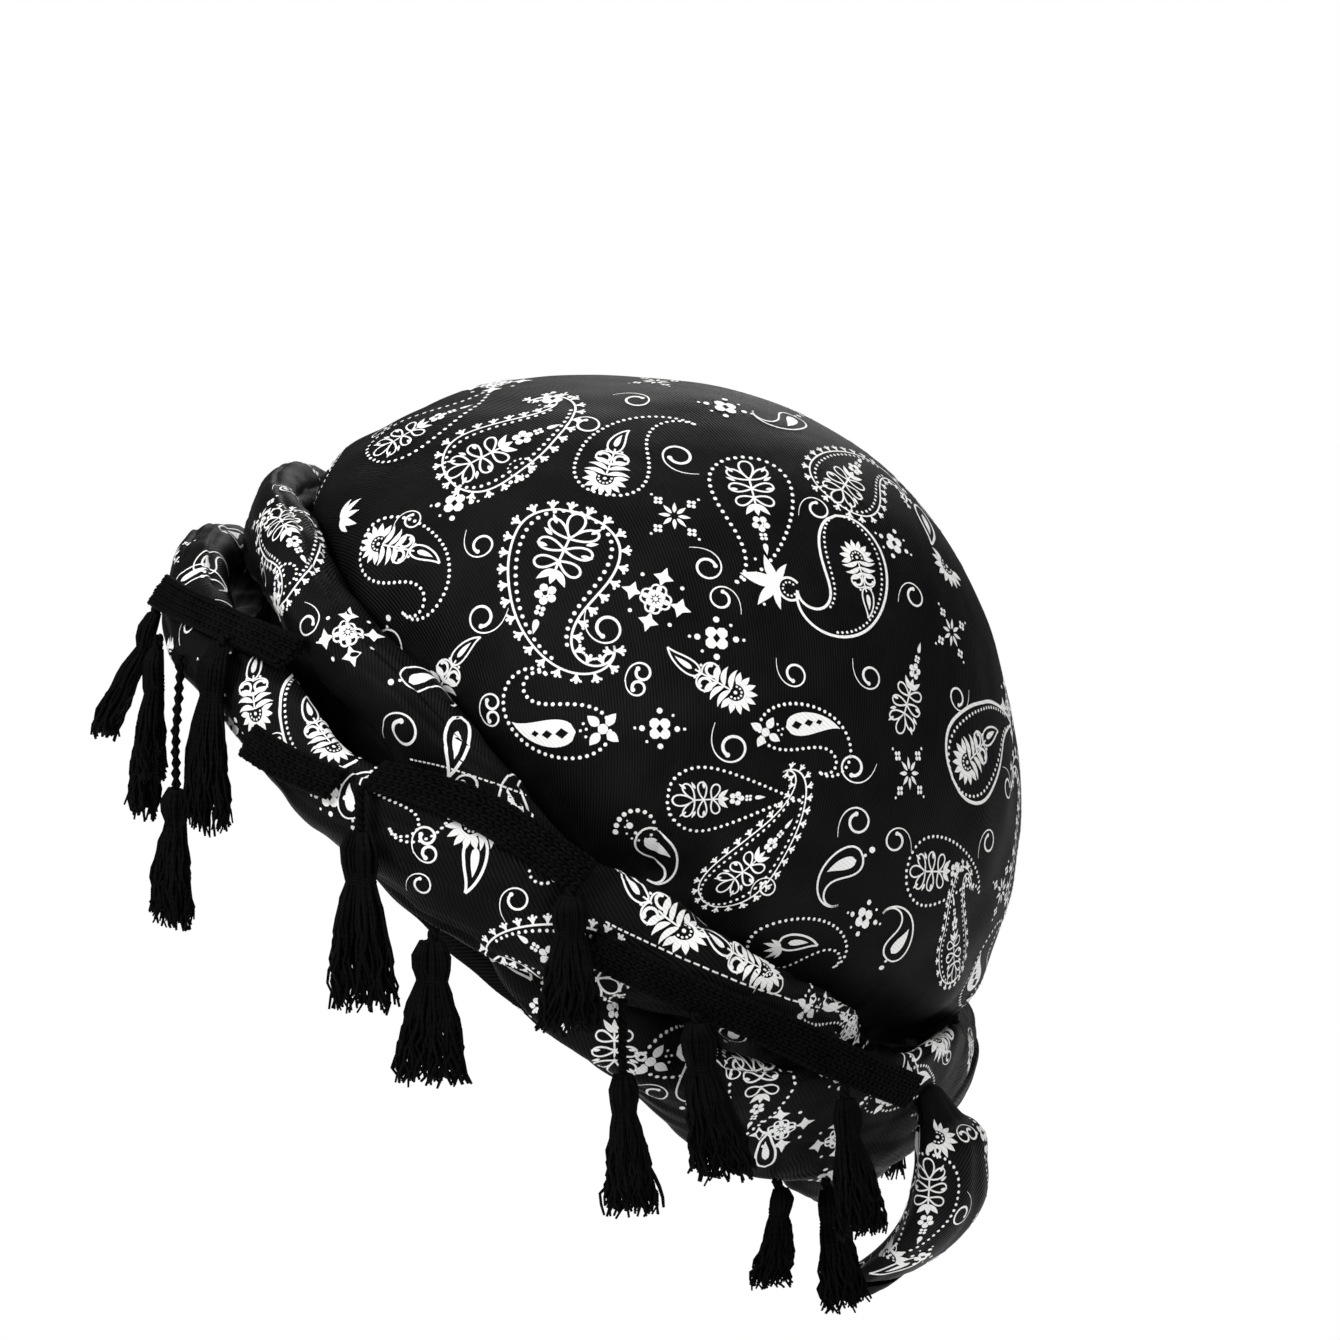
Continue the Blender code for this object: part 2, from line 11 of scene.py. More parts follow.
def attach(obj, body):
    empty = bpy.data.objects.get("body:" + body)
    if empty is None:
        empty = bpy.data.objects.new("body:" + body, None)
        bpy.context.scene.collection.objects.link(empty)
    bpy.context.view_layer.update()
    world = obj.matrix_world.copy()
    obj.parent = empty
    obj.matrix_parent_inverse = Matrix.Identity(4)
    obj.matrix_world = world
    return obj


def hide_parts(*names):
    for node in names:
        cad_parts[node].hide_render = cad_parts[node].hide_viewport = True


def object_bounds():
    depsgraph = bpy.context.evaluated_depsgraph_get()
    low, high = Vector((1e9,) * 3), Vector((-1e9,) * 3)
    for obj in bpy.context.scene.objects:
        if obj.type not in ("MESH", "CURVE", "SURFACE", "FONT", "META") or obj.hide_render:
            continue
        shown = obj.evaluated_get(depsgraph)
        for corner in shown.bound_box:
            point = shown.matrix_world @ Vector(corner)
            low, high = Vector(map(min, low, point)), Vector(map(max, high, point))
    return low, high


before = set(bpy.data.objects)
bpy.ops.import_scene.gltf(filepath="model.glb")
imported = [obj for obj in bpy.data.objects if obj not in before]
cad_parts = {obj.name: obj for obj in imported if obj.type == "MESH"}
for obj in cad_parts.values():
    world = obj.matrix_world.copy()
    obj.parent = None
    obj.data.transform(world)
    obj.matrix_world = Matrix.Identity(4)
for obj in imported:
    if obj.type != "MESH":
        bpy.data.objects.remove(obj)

cadLow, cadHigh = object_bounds()
random = np.random.default_rng(11)
mm = 0.001
print("frame loaded,", len(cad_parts), "solids")

# The hat's driving sizes, as the solids have them
hat = dict(
    headHalfLength=0.100, headHalfWidth=0.082, wornTilt=math.radians(40), crownRise=0.1325,
    crownWall=0.0012, liningWall=0.0009, hemWall=0.0009, layerGap=0.0005,
    hemDrop=(0.0200, 0.0265, 0.0240),                       # at the front, the side and the back
    hemHeight=0.0150, hemInnerHeight=0.0110,
)
hat["capThickness"] = 2 * hat["hemWall"] + 3 * hat["layerGap"] + hat["liningWall"] + hat["crownWall"]
rearward = np.array([0.0, math.cos(hat["wornTilt"]), -math.sin(hat["wornTilt"])])
leftward = np.array([1.0, 0.0, 0.0])
crownward = np.array([0.0, math.sin(hat["wornTilt"]), math.cos(hat["wornTilt"])])

# Camera: the picture's own scale and the place of the hat's origin in it
picture = dict(
    pixels=1340, metresPerPixel=0.00028, lens=150.0, sensor=36.0,
    azimuth=95.0, elevation=10.0, originAcross=572, originDown=825,
)


def makeCamera():
    # looks along the photograph's direction, stepped sideways so that the origin lands on its pixel
    azimuth, elevation = math.radians(picture["azimuth"]), math.radians(picture["elevation"])
    level = math.cos(elevation)
    back = Vector((math.sin(azimuth) * level, -math.cos(azimuth) * level, math.sin(elevation)))
    right = Vector((math.cos(azimuth), math.sin(azimuth), 0.0))
    up = back.cross(right)
    middle = picture["pixels"] / 2
    distance = picture["pixels"] * picture["metresPerPixel"] * picture["lens"] / picture["sensor"]
    sideways = (middle - picture["originAcross"]) * picture["metresPerPixel"]
    upwards = (picture["originDown"] - middle) * picture["metresPerPixel"]
    data = bpy.data.cameras.new("camera")
    data.lens, data.sensor_width = picture["lens"], picture["sensor"]
    camera = bpy.data.objects.new("camera", data)
    bpy.context.scene.collection.objects.link(camera)
    turned = Matrix((right, up, back)).transposed().to_4x4()
    camera.matrix_world = Matrix.Translation(right * sideways + up * upwards + back * distance) @ turned
    bpy.context.scene.camera = camera


makeCamera()
print("camera set")


# Sizes and places on the hat
def around(sizes, angle):
    # three sizes, at the front, both sides and the back, eased between by two cosine waves
    front, side, back = sizes
    ends = (front + back) / 2
    return (ends + side) / 2 + (front - back) / 2 * np.cos(angle) + (ends - side) / 2 * np.cos(2 * angle)


def hatPoint(angle, out, height, reach=1.0):
    # a point on the head's ellipse times a reach, moved straight out by a distance and up by a height
    angle, out, height, reach = np.broadcast_arrays(angle, out, height, reach)
    rear = -(hat["headHalfLength"] * reach + out) * np.cos(angle)
    left = (hat["headHalfWidth"] * reach + out) * np.sin(angle)
    return rear[..., None] * rearward + left[..., None] * leftward + height[..., None] * crownward


def alongTable(rows, share, level=False):
    # a Catmull-Rom curve through a table's rows; with level its last row is met at a right angle
    table = np.array(rows, float)
    last = table[-2] * (1, -1) if level else 2 * table[-1] - table[-2]
    table = np.vstack([2 * table[0] - table[1], table, last])
    spans = len(rows) - 1
    place = np.clip(share, 0, 1) * spans
    index = np.minimum(place.astype(int), spans - 1)
    u = (place - index)[..., None]
    a, b, c, d = (table[index + k] for k in range(4))
    return 0.5 * (2 * b + (c - a) * u + (2 * a - 5 * b + 4 * c - d) * u**2 + (3 * b - a - 3 * c + d) * u**3)


def turnApart(degrees, place):
    # how far one direction lies from another, from -180 to 180 degrees
    return (degrees - place + 180) % 360 - 180


def smooth(value):
    # a rise from 0 to 1 that starts and ends level
    value = np.clip(value, 0, 1)
    return value * value * (3 - 2 * value)


def unit(vectors):
    # vectors divided by their own lengths
    return vectors / np.maximum(np.linalg.norm(vectors, axis=-1, keepdims=True), 1e-12)


def wayAlong(points):
    # the summed steps along a line of points, or along each of many lines, from 0 at the first point
    steps = np.linalg.norm(np.diff(points, axis=-2), axis=-1)
    return np.concatenate([np.zeros_like(steps[..., :1]), np.cumsum(steps, -1)], -1)


def wayRound(grid):
    # the way round each ring of a grid, back to where it starts
    return wayAlong(np.concatenate([grid, grid[:, :1]], 1))


def fullTurn(count):
    # equal steps round a circle, without its end
    return np.linspace(0, 2 * math.pi, count, endpoint=False)


# Meshes from grids of points
def gridNormals(grid, wrapRows=False, wrapColumns=False):
    # the cross product of the central differences along the grid's two directions
    def slope(axis, wrapped):
        if wrapped:
            return np.roll(grid, -1, axis) - np.roll(grid, 1, axis)
        return np.gradient(grid, axis=axis)
    normal = np.cross(slope(0, wrapRows), slope(1, wrapColumns))
    return unit(normal)


def gridCorners(rows, columns, wrapRows=False, wrapColumns=False):
    # the four corners of each cell, as indices of points and, unwrapped, as indices of texture places
    i, j = np.meshgrid(np.arange(rows - (not wrapRows)), np.arange(columns - (not wrapColumns)), indexing="ij")
    corners = [(i, j), (i + 1, j), (i + 1, j + 1), (i, j + 1)]
    faces = np.stack([(r % rows) * columns + c % columns for r, c in corners], -1).reshape(-1, 4)
    flat = np.stack([r * (columns + 1) + c for r, c in corners], -1).reshape(-1, 4)
    return faces, flat


def addPiece(name, points, faces, materials, flatPlaces=None, faceMaterial=None):
    # one object whose faces are arrays of quads or triangles, with a texture place for each corner
    mesh = bpy.data.meshes.new(name)
    points = np.asarray(points, np.float32).reshape(-1, 3)
    starts, at = [], 0
    for block in faces:
        starts.append(at + np.arange(len(block)) * block.shape[1])
        at += block.size
    mesh.vertices.add(len(points))
    mesh.vertices.foreach_set("co", points.ravel())
    mesh.loops.add(at)
    mesh.loops.foreach_set("vertex_index", np.concatenate([block.ravel() for block in faces]).astype(np.int32))
    mesh.polygons.add(sum(len(block) for block in faces))
    mesh.polygons.foreach_set("loop_start", np.concatenate(starts).astype(np.int32))
    mesh.update(calc_edges=True)
    if flatPlaces is not None:
        layer = mesh.uv_layers.new(name="flat")
        layer.data.foreach_set("uv", np.asarray(flatPlaces, np.float32).ravel())
    for material in materials:
        mesh.materials.append(material)
    if faceMaterial is not None:
        mesh.polygons.foreach_set("material_index", np.asarray(faceMaterial, np.int32))
    mesh.shade_smooth()
    piece = bpy.data.objects.new(name, mesh)
    bpy.context.scene.collection.objects.link(piece)
    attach(piece, "root")
    return piece


def onGrid(cloth, row, column, lift):
    # a place on a grid of cloth, between its four nearest points, lifted along the cloth's normal
    rows, columns = cloth["outer"].shape[:2]
    if not cloth["closedSection"]:
        column = np.clip(column, 0, columns - 1.001)
    if cloth.get("openEnds"):
        row = np.clip(row, 0, rows - 1.001)
    i, j = np.floor(row).astype(int), np.floor(column).astype(int)
    u, v = (row - i)[..., None], (column - j)[..., None]
    found = []
    for field in (cloth["outer"], cloth["normals"]):
        near = field[i % rows, j % columns] * (1 - u) + field[(i + 1) % rows, j % columns] * u
        far = field[i % rows, (j + 1) % columns] * (1 - u) + field[(i + 1) % rows, (j + 1) % columns] * u
        found.append(near * (1 - v) + far * v)
    return found[0] + lift * found[1]


# Materials
turnPerMm = 2 * math.pi / mm


def newGroup(name, inputs, outputs):
    # a shader group with vector inputs, or plain ones with their values, and its two end nodes
    group = bpy.data.node_groups.new(name, "ShaderNodeTree")
    for socket, value in inputs:
        kind = "NodeSocketVector" if value is None else "NodeSocketFloat"
        made = group.interface.new_socket(socket, in_out="INPUT", socket_type=kind)
        if value is not None:
            made.default_value = value
    for socket in outputs:
        group.interface.new_socket(socket, in_out="OUTPUT", socket_type="NodeSocketFloat")
    return group, group.nodes.new("NodeGroupInput"), group.nodes.new("NodeGroupOutput")


def joinNodes(tree, kind, inputs, **settings):
    # adds a node, sets its properties, and feeds each input from a socket or a plain value
    node = tree.nodes.new(kind)
    for key, value in settings.items():
        setattr(node, key, value)
    for key, value in inputs.items():
        if isinstance(value, bpy.types.NodeSocket):
            tree.links.new(value, node.inputs[key])
        else:
            node.inputs[key].default_value = value
    return node


def compute(tree, operation, *values):
    # one Math node
    return joinNodes(tree, "ShaderNodeMath", dict(enumerate(values)), operation=operation).outputs[0]


# the rib shade is painted: the rib's sine lightens the colour on the crests and darkens it in the grooves
weave = dict(threadPitch=0.5, ribHeight=0.4, threadHeight=0.1, ribPaintedShade=0.26, unevenScale=60.0)
yarn = dict(turnsRound=2, twistHeight=0.4, fuzzScale=1800.0, patchScale=220.0)


def makeWeaveGroup():
    # twill: a sine across the diagonal ribs, broken up by a finer sine along them, with slow unevenness; the rib's sine
    # also goes into the Shade output as painted light on the rib crests and painted shade in the grooves
    group, into, out = newGroup("twillWeave", [("Place", None), ("Pitch", 1.2)], ["Height", "Shade"])
    parts = joinNodes(group, "ShaderNodeSeparateXYZ", {0: into.outputs["Place"]})
    across = compute(group, "ADD", parts.outputs[0], parts.outputs[1])
    along = compute(group, "SUBTRACT", parts.outputs[0], parts.outputs[1])
    turns = compute(group, "DIVIDE", compute(group, "MULTIPLY", across, turnPerMm), into.outputs["Pitch"])
    rib = compute(group, "SINE", turns)
    thread = compute(group, "SINE", compute(group, "MULTIPLY", along, turnPerMm / weave["threadPitch"]))
    ribHeight = compute(group, "MULTIPLY", rib, weave["ribHeight"])
    height = compute(group, "ADD", ribHeight, compute(group, "MULTIPLY", thread, weave["threadHeight"]))
    uneven = {"Vector": into.outputs["Place"], "Scale": weave["unevenScale"], "Detail": 3.0}
    slow = joinNodes(group, "ShaderNodeTexNoise", uneven)
    # painted light on the rib crests and painted shade in the grooves, plus slow uneven tone
    shade = compute(group, "ADD", compute(group, "MULTIPLY", rib, weave["ribPaintedShade"]), slow.outputs[0])
    group.links.new(height, out.inputs["Height"])
    group.links.new(shade, out.inputs["Shade"])
    return group


def makeYarnGroup():
    # twisted yarn: a sine that climbs round the yarn as it runs along it, with fuzz from fine noise
    inputs = [("Place", None), ("Object place", None), ("Pitch", 1.6)]
    group, into, out = newGroup("yarnTwist", inputs, ["Height", "Shade"])
    parts = joinNodes(group, "ShaderNodeSeparateXYZ", {0: into.outputs["Place"]})
    runs = compute(group, "DIVIDE", compute(group, "MULTIPLY", parts.outputs[0], turnPerMm), into.outputs["Pitch"])
    climb = compute(group, "MULTIPLY", parts.outputs[1], yarn["turnsRound"] * 2 * math.pi)
    twist = compute(group, "SINE", compute(group, "ADD", runs, climb))
    body = into.outputs["Object place"]
    fuzz, patch = (
        joinNodes(group, "ShaderNodeTexNoise", {"Vector": body, "Scale": scale, "Detail": detail})
        for scale, detail in ((yarn["fuzzScale"], 2.0), (yarn["patchScale"], 3.0))
    )
    height = compute(group, "ADD", compute(group, "MULTIPLY", twist, yarn["twistHeight"]), fuzz.outputs[0])
    group.links.new(height, out.inputs["Height"])
    group.links.new(patch.outputs[0], out.inputs["Shade"])
    return group


weaveGroup, yarnGroup = makeWeaveGroup(), makeYarnGroup()


def makeFinish(name, look):
    # a Principled shader whose colour, roughness and bump come from the weave or yarn group; from the weave, the colour
    # holds painted light on the rib crests and painted shade in the grooves
    material = bpy.data.materials.new(name)
    material.use_nodes = True
    tree = material.node_tree
    shader = tree.nodes["Principled BSDF"]
    place = tree.nodes.new("ShaderNodeUVMap")
    place.uv_map = "flat"
    feeds = {"Place": place.outputs[0], "Pitch": look["scale"]}
    if look["group"] is yarnGroup:
        feeds["Object place"] = tree.nodes.new("ShaderNodeTexCoord").outputs["Object"]
    detail = joinNodes(tree, "ShaderNodeGroup", feeds, node_tree=look["group"])
    height, shade = detail.outputs["Height"], detail.outputs["Shade"]
    # the colour ramp turns the Shade into tone: with the weave, painted light on the rib crests and painted shade in
    # the grooves
    colour = joinNodes(tree, "ShaderNodeValToRGB", {0: shade})
    for element, position, tone in zip(colour.color_ramp.elements, (0.3, 0.75), (look["dark"], look["light"])):
        element.position, element.color = position, (*tone, 1)
    low, high = look["rough"]
    rough = joinNodes(tree, "ShaderNodeMapRange", {"Value": shade, "To Min": low, "To Max": high})
    bump = joinNodes(tree, "ShaderNodeBump", {"Height": height, "Strength": look["bump"], "Distance": look["relief"]})
    for made, socket in ((colour, "Base Color"), (rough, "Roughness"), (bump, "Normal")):
        tree.links.new(made.outputs[0], shader.inputs[socket])
    shader.inputs["Specular IOR Level"].default_value = look["specular"]
    return material


# dark and light are the ends of the colour ramp; for the woven finishes they span painted shade in the rib grooves,
# painted light on the rib crests and uneven tone
finishes = dict(
    blackCloth=dict(
        group=weaveGroup, scale=1.25, dark=(0.0012, 0.0012, 0.0013), light=(0.0060, 0.0059, 0.0059),
        rough=(0.38, 0.52), bump=0.9, relief=0.00016, specular=0.055,
    ),
    whiteInk=dict(
        group=weaveGroup, scale=1.25, dark=(0.78, 0.78, 0.765), light=(0.90, 0.90, 0.885),
        rough=(0.62, 0.78), bump=0.35, relief=0.00010, specular=0.25,
    ),
    satin=dict(
        group=weaveGroup, scale=0.45, dark=(0.0040, 0.0040, 0.0043), light=(0.0085, 0.0085, 0.0090),
        rough=(0.26, 0.36), bump=0.15, relief=0.00005, specular=0.5,
    ),
    blackYarn=dict(
        group=yarnGroup, scale=1.7, dark=(0.0006, 0.0006, 0.0006), light=(0.0030, 0.0029, 0.0029),
        rough=(0.60, 0.85), bump=0.6, relief=0.00018, specular=0.05,
    ),
)
materials = {name: makeFinish(name, look) for name, look in finishes.items()}
print("materials made:", ", ".join(materials))


# The cap's cloth
cap = dict(
    around=344, up=108,
    outline=(
        # height as a share of the rise (below 0, of the hem's drop), reach as a share of the head
        (-0.94, 1.000), (-0.45, 1.000), (0.04, 1.004), (0.13, 1.050), (0.215, 1.110), (0.30, 1.118), (0.385, 1.080),
        (0.455, 1.040), (0.54, 0.980), (0.63, 0.895), (0.725, 0.775), (0.84, 0.590), (0.91, 0.450), (0.97, 0.250), (1.00, 0.000),
    ),
    folds=(
        # angle, width, depth as a share of the head's half width, low, high, drift
        (98.0, 6.0, 0.055, 0.12, 0.62, 18.0), (113.0, 7.5, 0.045, 0.14, 0.60, -30.0), (132.0, 6.0, 0.040, 0.14, 0.46, -16.0),
        (149.0, 6.0, 0.045, 0.14, 0.42, -10.0), (165.0, 6.0, 0.050, 0.14, 0.46, 0.0), (182.0, 6.0, 0.050, 0.14, 0.50, 6.0),
        (206.0, 6.5, 0.045, 0.14, 0.44, 10.0), (237.0, 7.0, 0.040, 0.14, 0.50, 18.0), (268.0, 7.0, 0.045, 0.12, 0.54, -18.0),
        (302.0, 7.0, 0.035, 0.12, 0.40, 12.0), (52.0, 7.0, 0.030, 0.14, 0.38, 14.0),
    ),
    tucks=(
        # angle, depth in millimetres, width in degrees on its soft side, low, high, drift
        (108.6, 2.8, 6.0, 0.14, 0.56, -43.0), (99.5, 1.2, 5.0, 0.10, 0.30, 8.0),
        (118.0, 1.2, 4.0, 0.10, 0.44, -26.0), (137.0, 1.3, 3.5, 0.10, 0.36, -20.0),
        (145.0, 1.3, 3.0, 0.10, 0.34, -18.0), (153.0, 1.3, 3.0, 0.10, 0.34, -12.0), (161.0, 1.4, 3.0, 0.10, 0.36, -6.0),
        (172.0, 1.4, 3.5, 0.10, 0.40, 0.0), (190.0, 1.4, 3.5, 0.10, 0.40, 6.0), (214.0, 1.3, 3.5, 0.10, 0.36, 12.0),
        (228.0, 1.2, 4.0, 0.10, 0.42, 20.0), (256.0, 1.3, 4.0, 0.10, 0.46, -16.0), (290.0, 1.0, 4.0, 0.10, 0.34, 14.0),
        (322.0, 1.0, 4.0, 0.10, 0.34, -14.0), (24.0, 0.9, 4.0, 0.10, 0.32, 16.0), (70.0, 0.8, 5.0, 0.10, 0.30, -16.0),
    ),
    waves=(
        # times round, times up, size in millimetres, phase
        (5, 1.5, 0.55, 0.4), (9, 2.3, 0.40, 2.1), (14, -3.1, 0.28, 4.0), (23, 4.7, 0.16, 1.2), (31, -6.3, 0.10, 5.2),
    ),
    foldRise=0.08, tuckRise=0.06, tuckEdge=0.12, lineSteps=400,
    flat=(0.60, 0.30), flatArea=0.125,
)


def capPoint(angle, height, reach, out):
    # a point of a cap layer; its height is a share of the rise, and below the rim of the hem's drop
    rise = np.where(height < 0, height * around(hat["hemDrop"], angle), height * hat["crownRise"])
    return hatPoint(angle, out * np.minimum(reach, 1), rise, reach)


def capCloth(angle, share):
    # the outline turned round the head, less bell-shaped folds, one-sided tucks and slow waves
    outline = alongTable(cap["outline"], share, level=True)
    height, reach = outline[..., 0], np.maximum(outline[..., 1], 0)
    degrees = np.degrees(angle)
    pressed = np.zeros_like(height)
    for place, width, depth, low, high, drift in cap["folds"]:
        fade = np.clip((height - low) / cap["foldRise"], 0, 1) * np.clip((high - height) / (high - low), 0, 1)
        bell = np.exp(-(turnApart(degrees, place + drift * height) / width) ** 2)
        pressed += depth * hat["headHalfWidth"] * fade * bell
    for place, depth, width, low, high, drift in cap["tucks"]:
        apart = turnApart(degrees, place + drift * height)
        side = np.where(apart < 0, np.exp(apart / width), np.exp(-apart / (cap["tuckEdge"] * width)))
        pressed += depth * mm * side * smooth((height - low) / cap["tuckRise"]) * smooth((high - height) / (high - low))
    inside = smooth(reach / 0.3) * smooth((height - 0.05) / 0.15)
    for times, up, size, phase in cap["waves"]:
        pressed += size * mm * np.sin(times * angle + 2 * math.pi * up * height + phase) * inside
    base = hat["capThickness"] - hat["hemWall"] - hat["layerGap"] - hat["crownWall"]
    return capPoint(angle, height, reach, base - pressed)


def domeLength(share):
    # the way along the cap's outline down from its top, which lays the cloth out flat
    places = np.linspace(0, 1, cap["lineSteps"])
    run = wayAlong(alongTable(cap["outline"], places, level=True) * (hat["crownRise"], hat["headHalfLength"]))
    return np.interp(share, places, run[-1] - run)


def shellMesh(name, outer, inner, tips, flat, material):
    # two layers of cloth, each closed by a point at the top, joined along their lower edges
    rows, columns = outer.shape[:2]
    faces, flatFaces = gridCorners(rows, columns, wrapRows=True)
    count, wide = rows * columns, columns + 1
    edge = np.arange(rows)
    low, lowAfter = edge * columns, (edge + 1) % rows * columns
    high, highAfter = low + columns - 1, lowAfter + columns - 1
    rim = np.stack([low, low + count, lowAfter + count, lowAfter], 1)
    outerTip = np.stack([high, highAfter, np.full(rows, 2 * count)], 1)
    innerTip = np.stack([highAfter + count, high + count, np.full(rows, 2 * count + 1)], 1)
    padded = np.concatenate([flat, flat[:1]], 0)
    padded = np.concatenate([padded, padded[:, -1:]], 1).reshape(-1, 2)
    rimFlat = np.stack([edge, edge, edge + 1, edge + 1], 1) * wide
    tipFlat = np.stack([edge, edge + 1, edge + 1], 1) * wide + columns - 1
    order = (flatFaces, flatFaces[:, ::-1], rimFlat, tipFlat, tipFlat[:, ::-1])
    corners = [padded[each].reshape(-1, 2) for each in order]
    blocks = [np.concatenate([faces, faces[:, ::-1] + count, rim]), np.concatenate([outerTip, innerTip])]
    points = np.concatenate([outer.reshape(-1, 3), inner.reshape(-1, 3), tips])
    return addPiece(name, points, blocks, [material], np.concatenate(corners))


def makeShell(name, node, layer, cloth, wall, finish):
    # a layer's inner face and, a wall further out, its outer one; laid flat, it spreads round its top
    share = np.linspace(0, 1, layer["up"] + 1)[None, :-1]
    angle, share = np.broadcast_arrays(fullTurn(layer["around"])[:, None], share)
    inner = cloth(angle, share)
    normals = gridNormals(inner, wrapRows=True)
    outer = inner + wall * normals
    top = cloth(np.zeros(1), np.ones(1))
    tips = np.concatenate([top + wall * crownward, top])
    flat = domeLength(share)[..., None] * np.stack([np.cos(angle), np.sin(angle)], -1)
    piece = shellMesh(name, outer, inner, tips, flat, materials[finish])
    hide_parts(node)
    return dict(outer=outer, normals=normals, closedSection=False)


capSurface = makeShell("capCloth", "crown", cap, capCloth, hat["crownWall"], "blackCloth")
print("cap made")


# The satin lining
lining = dict(
    around=208, up=66, slack=0.0068, gathers=9, gatherDepth=0.0012, fineGathers=34, fineDepth=0.0004,
    wrinkles=(
        # times round, times up, size in millimetres, phase
        (4, 2.6, 2.4, 0.3), (7, -4.2, 1.8, 2.0), (11, 5.5, 1.0, 4.1),
    ),
    flat=(0.58, 0.27), flatArea=0.105,
)


def liningCloth(angle, share):
    # the cap's outline pulled in by the slack, with gathers as cosines round the head and sharp ridges
    outline = alongTable(cap["outline"], share)
    height, reach = outline[..., 0], np.maximum(outline[..., 1], 0)
    loose = np.clip((height + 0.1) / 0.2, 0, 1)
    full = np.clip(reach * 4 * (1 - reach), 0, 1)
    fine = np.cos(lining["fineGathers"] * angle + 2 * np.sin(3 * angle)) * smooth(reach * 1.2)
    gather = lining["gatherDepth"] * np.cos(lining["gathers"] * angle) * full + lining["fineDepth"] * fine
    for times, up, size, phase in lining["wrinkles"]:
        ridge = 1 - np.abs(np.sin(times * angle / 2 + math.pi * up * height + phase + 0.6 * np.sin(3 * angle)))
        gather = gather + size * mm * ridge**2 * smooth((height - 0.12) / 0.2) * smooth(reach * 1.6)
    points = capPoint(angle, height, reach, hat["hemWall"] + hat["layerGap"] - loose * (lining["slack"] + gather))
    lowered = lining["slack"] * np.clip((height - 0.3) / 0.7, 0, 1)
    return points - lowered[..., None] * crownward


makeShell("liningCloth", "lining", lining, liningCloth, hat["liningWall"], "satin")
print("lining made")


# The folded strip round the opening
hem = dict(around=300, round=0.0004, ripple=0.00025, meanRadius=0.092, flat=(0.034, 0.600))


def makeHem():
    # a folded strip's section, carried round the rim, with a slight ripple along its edge
    angle = fullTurn(hem["around"])
    drop = around(hat["hemDrop"], angle)
    thick, wall, r = hat["capThickness"], hat["hemWall"], hem["round"]
    high, highInside = hat["hemHeight"], hat["hemInnerHeight"]
    section = (
        # out, height above the hem's foot
        (r, 0.0), (0.0, r), (0.0, 0.5 * highInside), (0.0, highInside - r), (r, highInside), (wall, highInside - r),
        (wall, wall + r), (wall + r, wall), (thick - wall - r, wall), (thick - wall, wall + r),
        (thick - wall, high - r), (thick - r, high), (thick, high - r), (thick, 0.66 * high),
        (thick, 0.33 * high), (thick, r), (thick - r, 0.0), (0.5 * thick, 0.0),
    )
    ripple = hem["ripple"] * (np.sin(37 * angle) + np.sin(23 * angle + 1.0))
    foot = -drop - 2 * wall
    grid = np.stack([hatPoint(angle, out, height + foot + ripple * (height < wall)) for out, height in section], 1)
    run = wayRound(grid[:1])[0]
    along = np.linspace(0, 2 * math.pi * hem["meanRadius"], hem["around"] + 1)
    flat = np.stack(np.broadcast_arrays(along[:, None], run[None, :]), -1).reshape(-1, 2)
    faces, flatFaces = (found[:, ::-1] for found in gridCorners(*grid.shape[:2], wrapRows=True, wrapColumns=True))
    piece = addPiece("rimHem", grid, [faces], [materials["blackCloth"]], flat[flatFaces])
    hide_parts("rim_hem")
    section = np.broadcast_to(run, (len(grid), len(run)))
    return dict(outer=grid, normals=-gridNormals(grid, True, True), section=section, closedSection=True)


hemSurface = makeHem()
print("hem made")


# The two twisted strands
band = dict(
    around=520, section=104, gap=0.0007, creaseShift=140,
    halfHeight=(0.0270, 0.0245, 0.0320), halfDepth=(0.0145, 0.0130, 0.0140),     # at the front, the side and the back
    offset=0.50, halfThickness=0.465, halfBreadth=0.80, foldDepth=0.10, folds=3,
    twist=(
        # angle, turn of the pair
        (0, -58), (32, -80), (61, -80), (90, 0), (127, 130), (155, 210),
        (180, 270), (220, 350), (270, 450), (310, 560), (335, 630),
    ),
    twistTotal=720, twistSmoothing=14,
    slits=(
        # angle, width, how much further apart the strands stand
        (24.0, 13.0, 0.13), (60.0, 9.0, 0.12),
    ),
    creases=(
        # place round the strand in degrees, wander, depth in millimetres, width in degrees
        (20.0, 14.0, 1.7, 5.0), (62.0, 18.0, 1.5, 5.0), (104.0, 12.0, 1.9, 4.5), (150.0, 16.0, 1.4, 5.0),
        (196.0, 15.0, 1.8, 4.5), (238.0, 12.0, 1.5, 5.0), (282.0, 16.0, 1.9, 4.5), (330.0, 14.0, 1.6, 5.0),
        (84.0, 22.0, 0.8, 4.0), (218.0, 20.0, 0.9, 4.0), (306.0, 22.0, 0.8, 4.0), (40.0, 20.0, 0.7, 4.0),
    ),
    ripples=(
        # times round the head, times round the strand, size in millimetres, phase
        (17, 2, 0.45, 0.3), (29, -3, 0.30, 1.9), (46, 4, 0.18, 3.1), (71, -5, 0.10, 4.4),
    ),
    fill=0.35,
)


def pairTurn(angle):
    # the table's turns, read between its rows and averaged over a short stretch
    table = np.array(band["twist"], float)
    places = np.concatenate([table[:, 0] - 360, table[:, 0], table[:, 0] + 360])
    turns = np.concatenate([table[:, 1] - band["twistTotal"], table[:, 1], table[:, 1] + band["twistTotal"]])
    degrees = np.degrees(angle) % 360
    shifts = np.linspace(-band["twistSmoothing"], band["twistSmoothing"], 9)
    return np.radians(sum(np.interp(degrees + s, places, turns) for s in shifts) / len(shifts))


def capBulge(height):
    # how far out the cap's cloth reaches at a height above the rim
    outline = alongTable(cap["outline"], np.linspace(0, 0.5, 60))
    reach = np.interp(height, outline[:, 0] * hat["crownRise"], outline[:, 1])
    return hat["capThickness"] + (reach - 1) * hat["headHalfLength"]


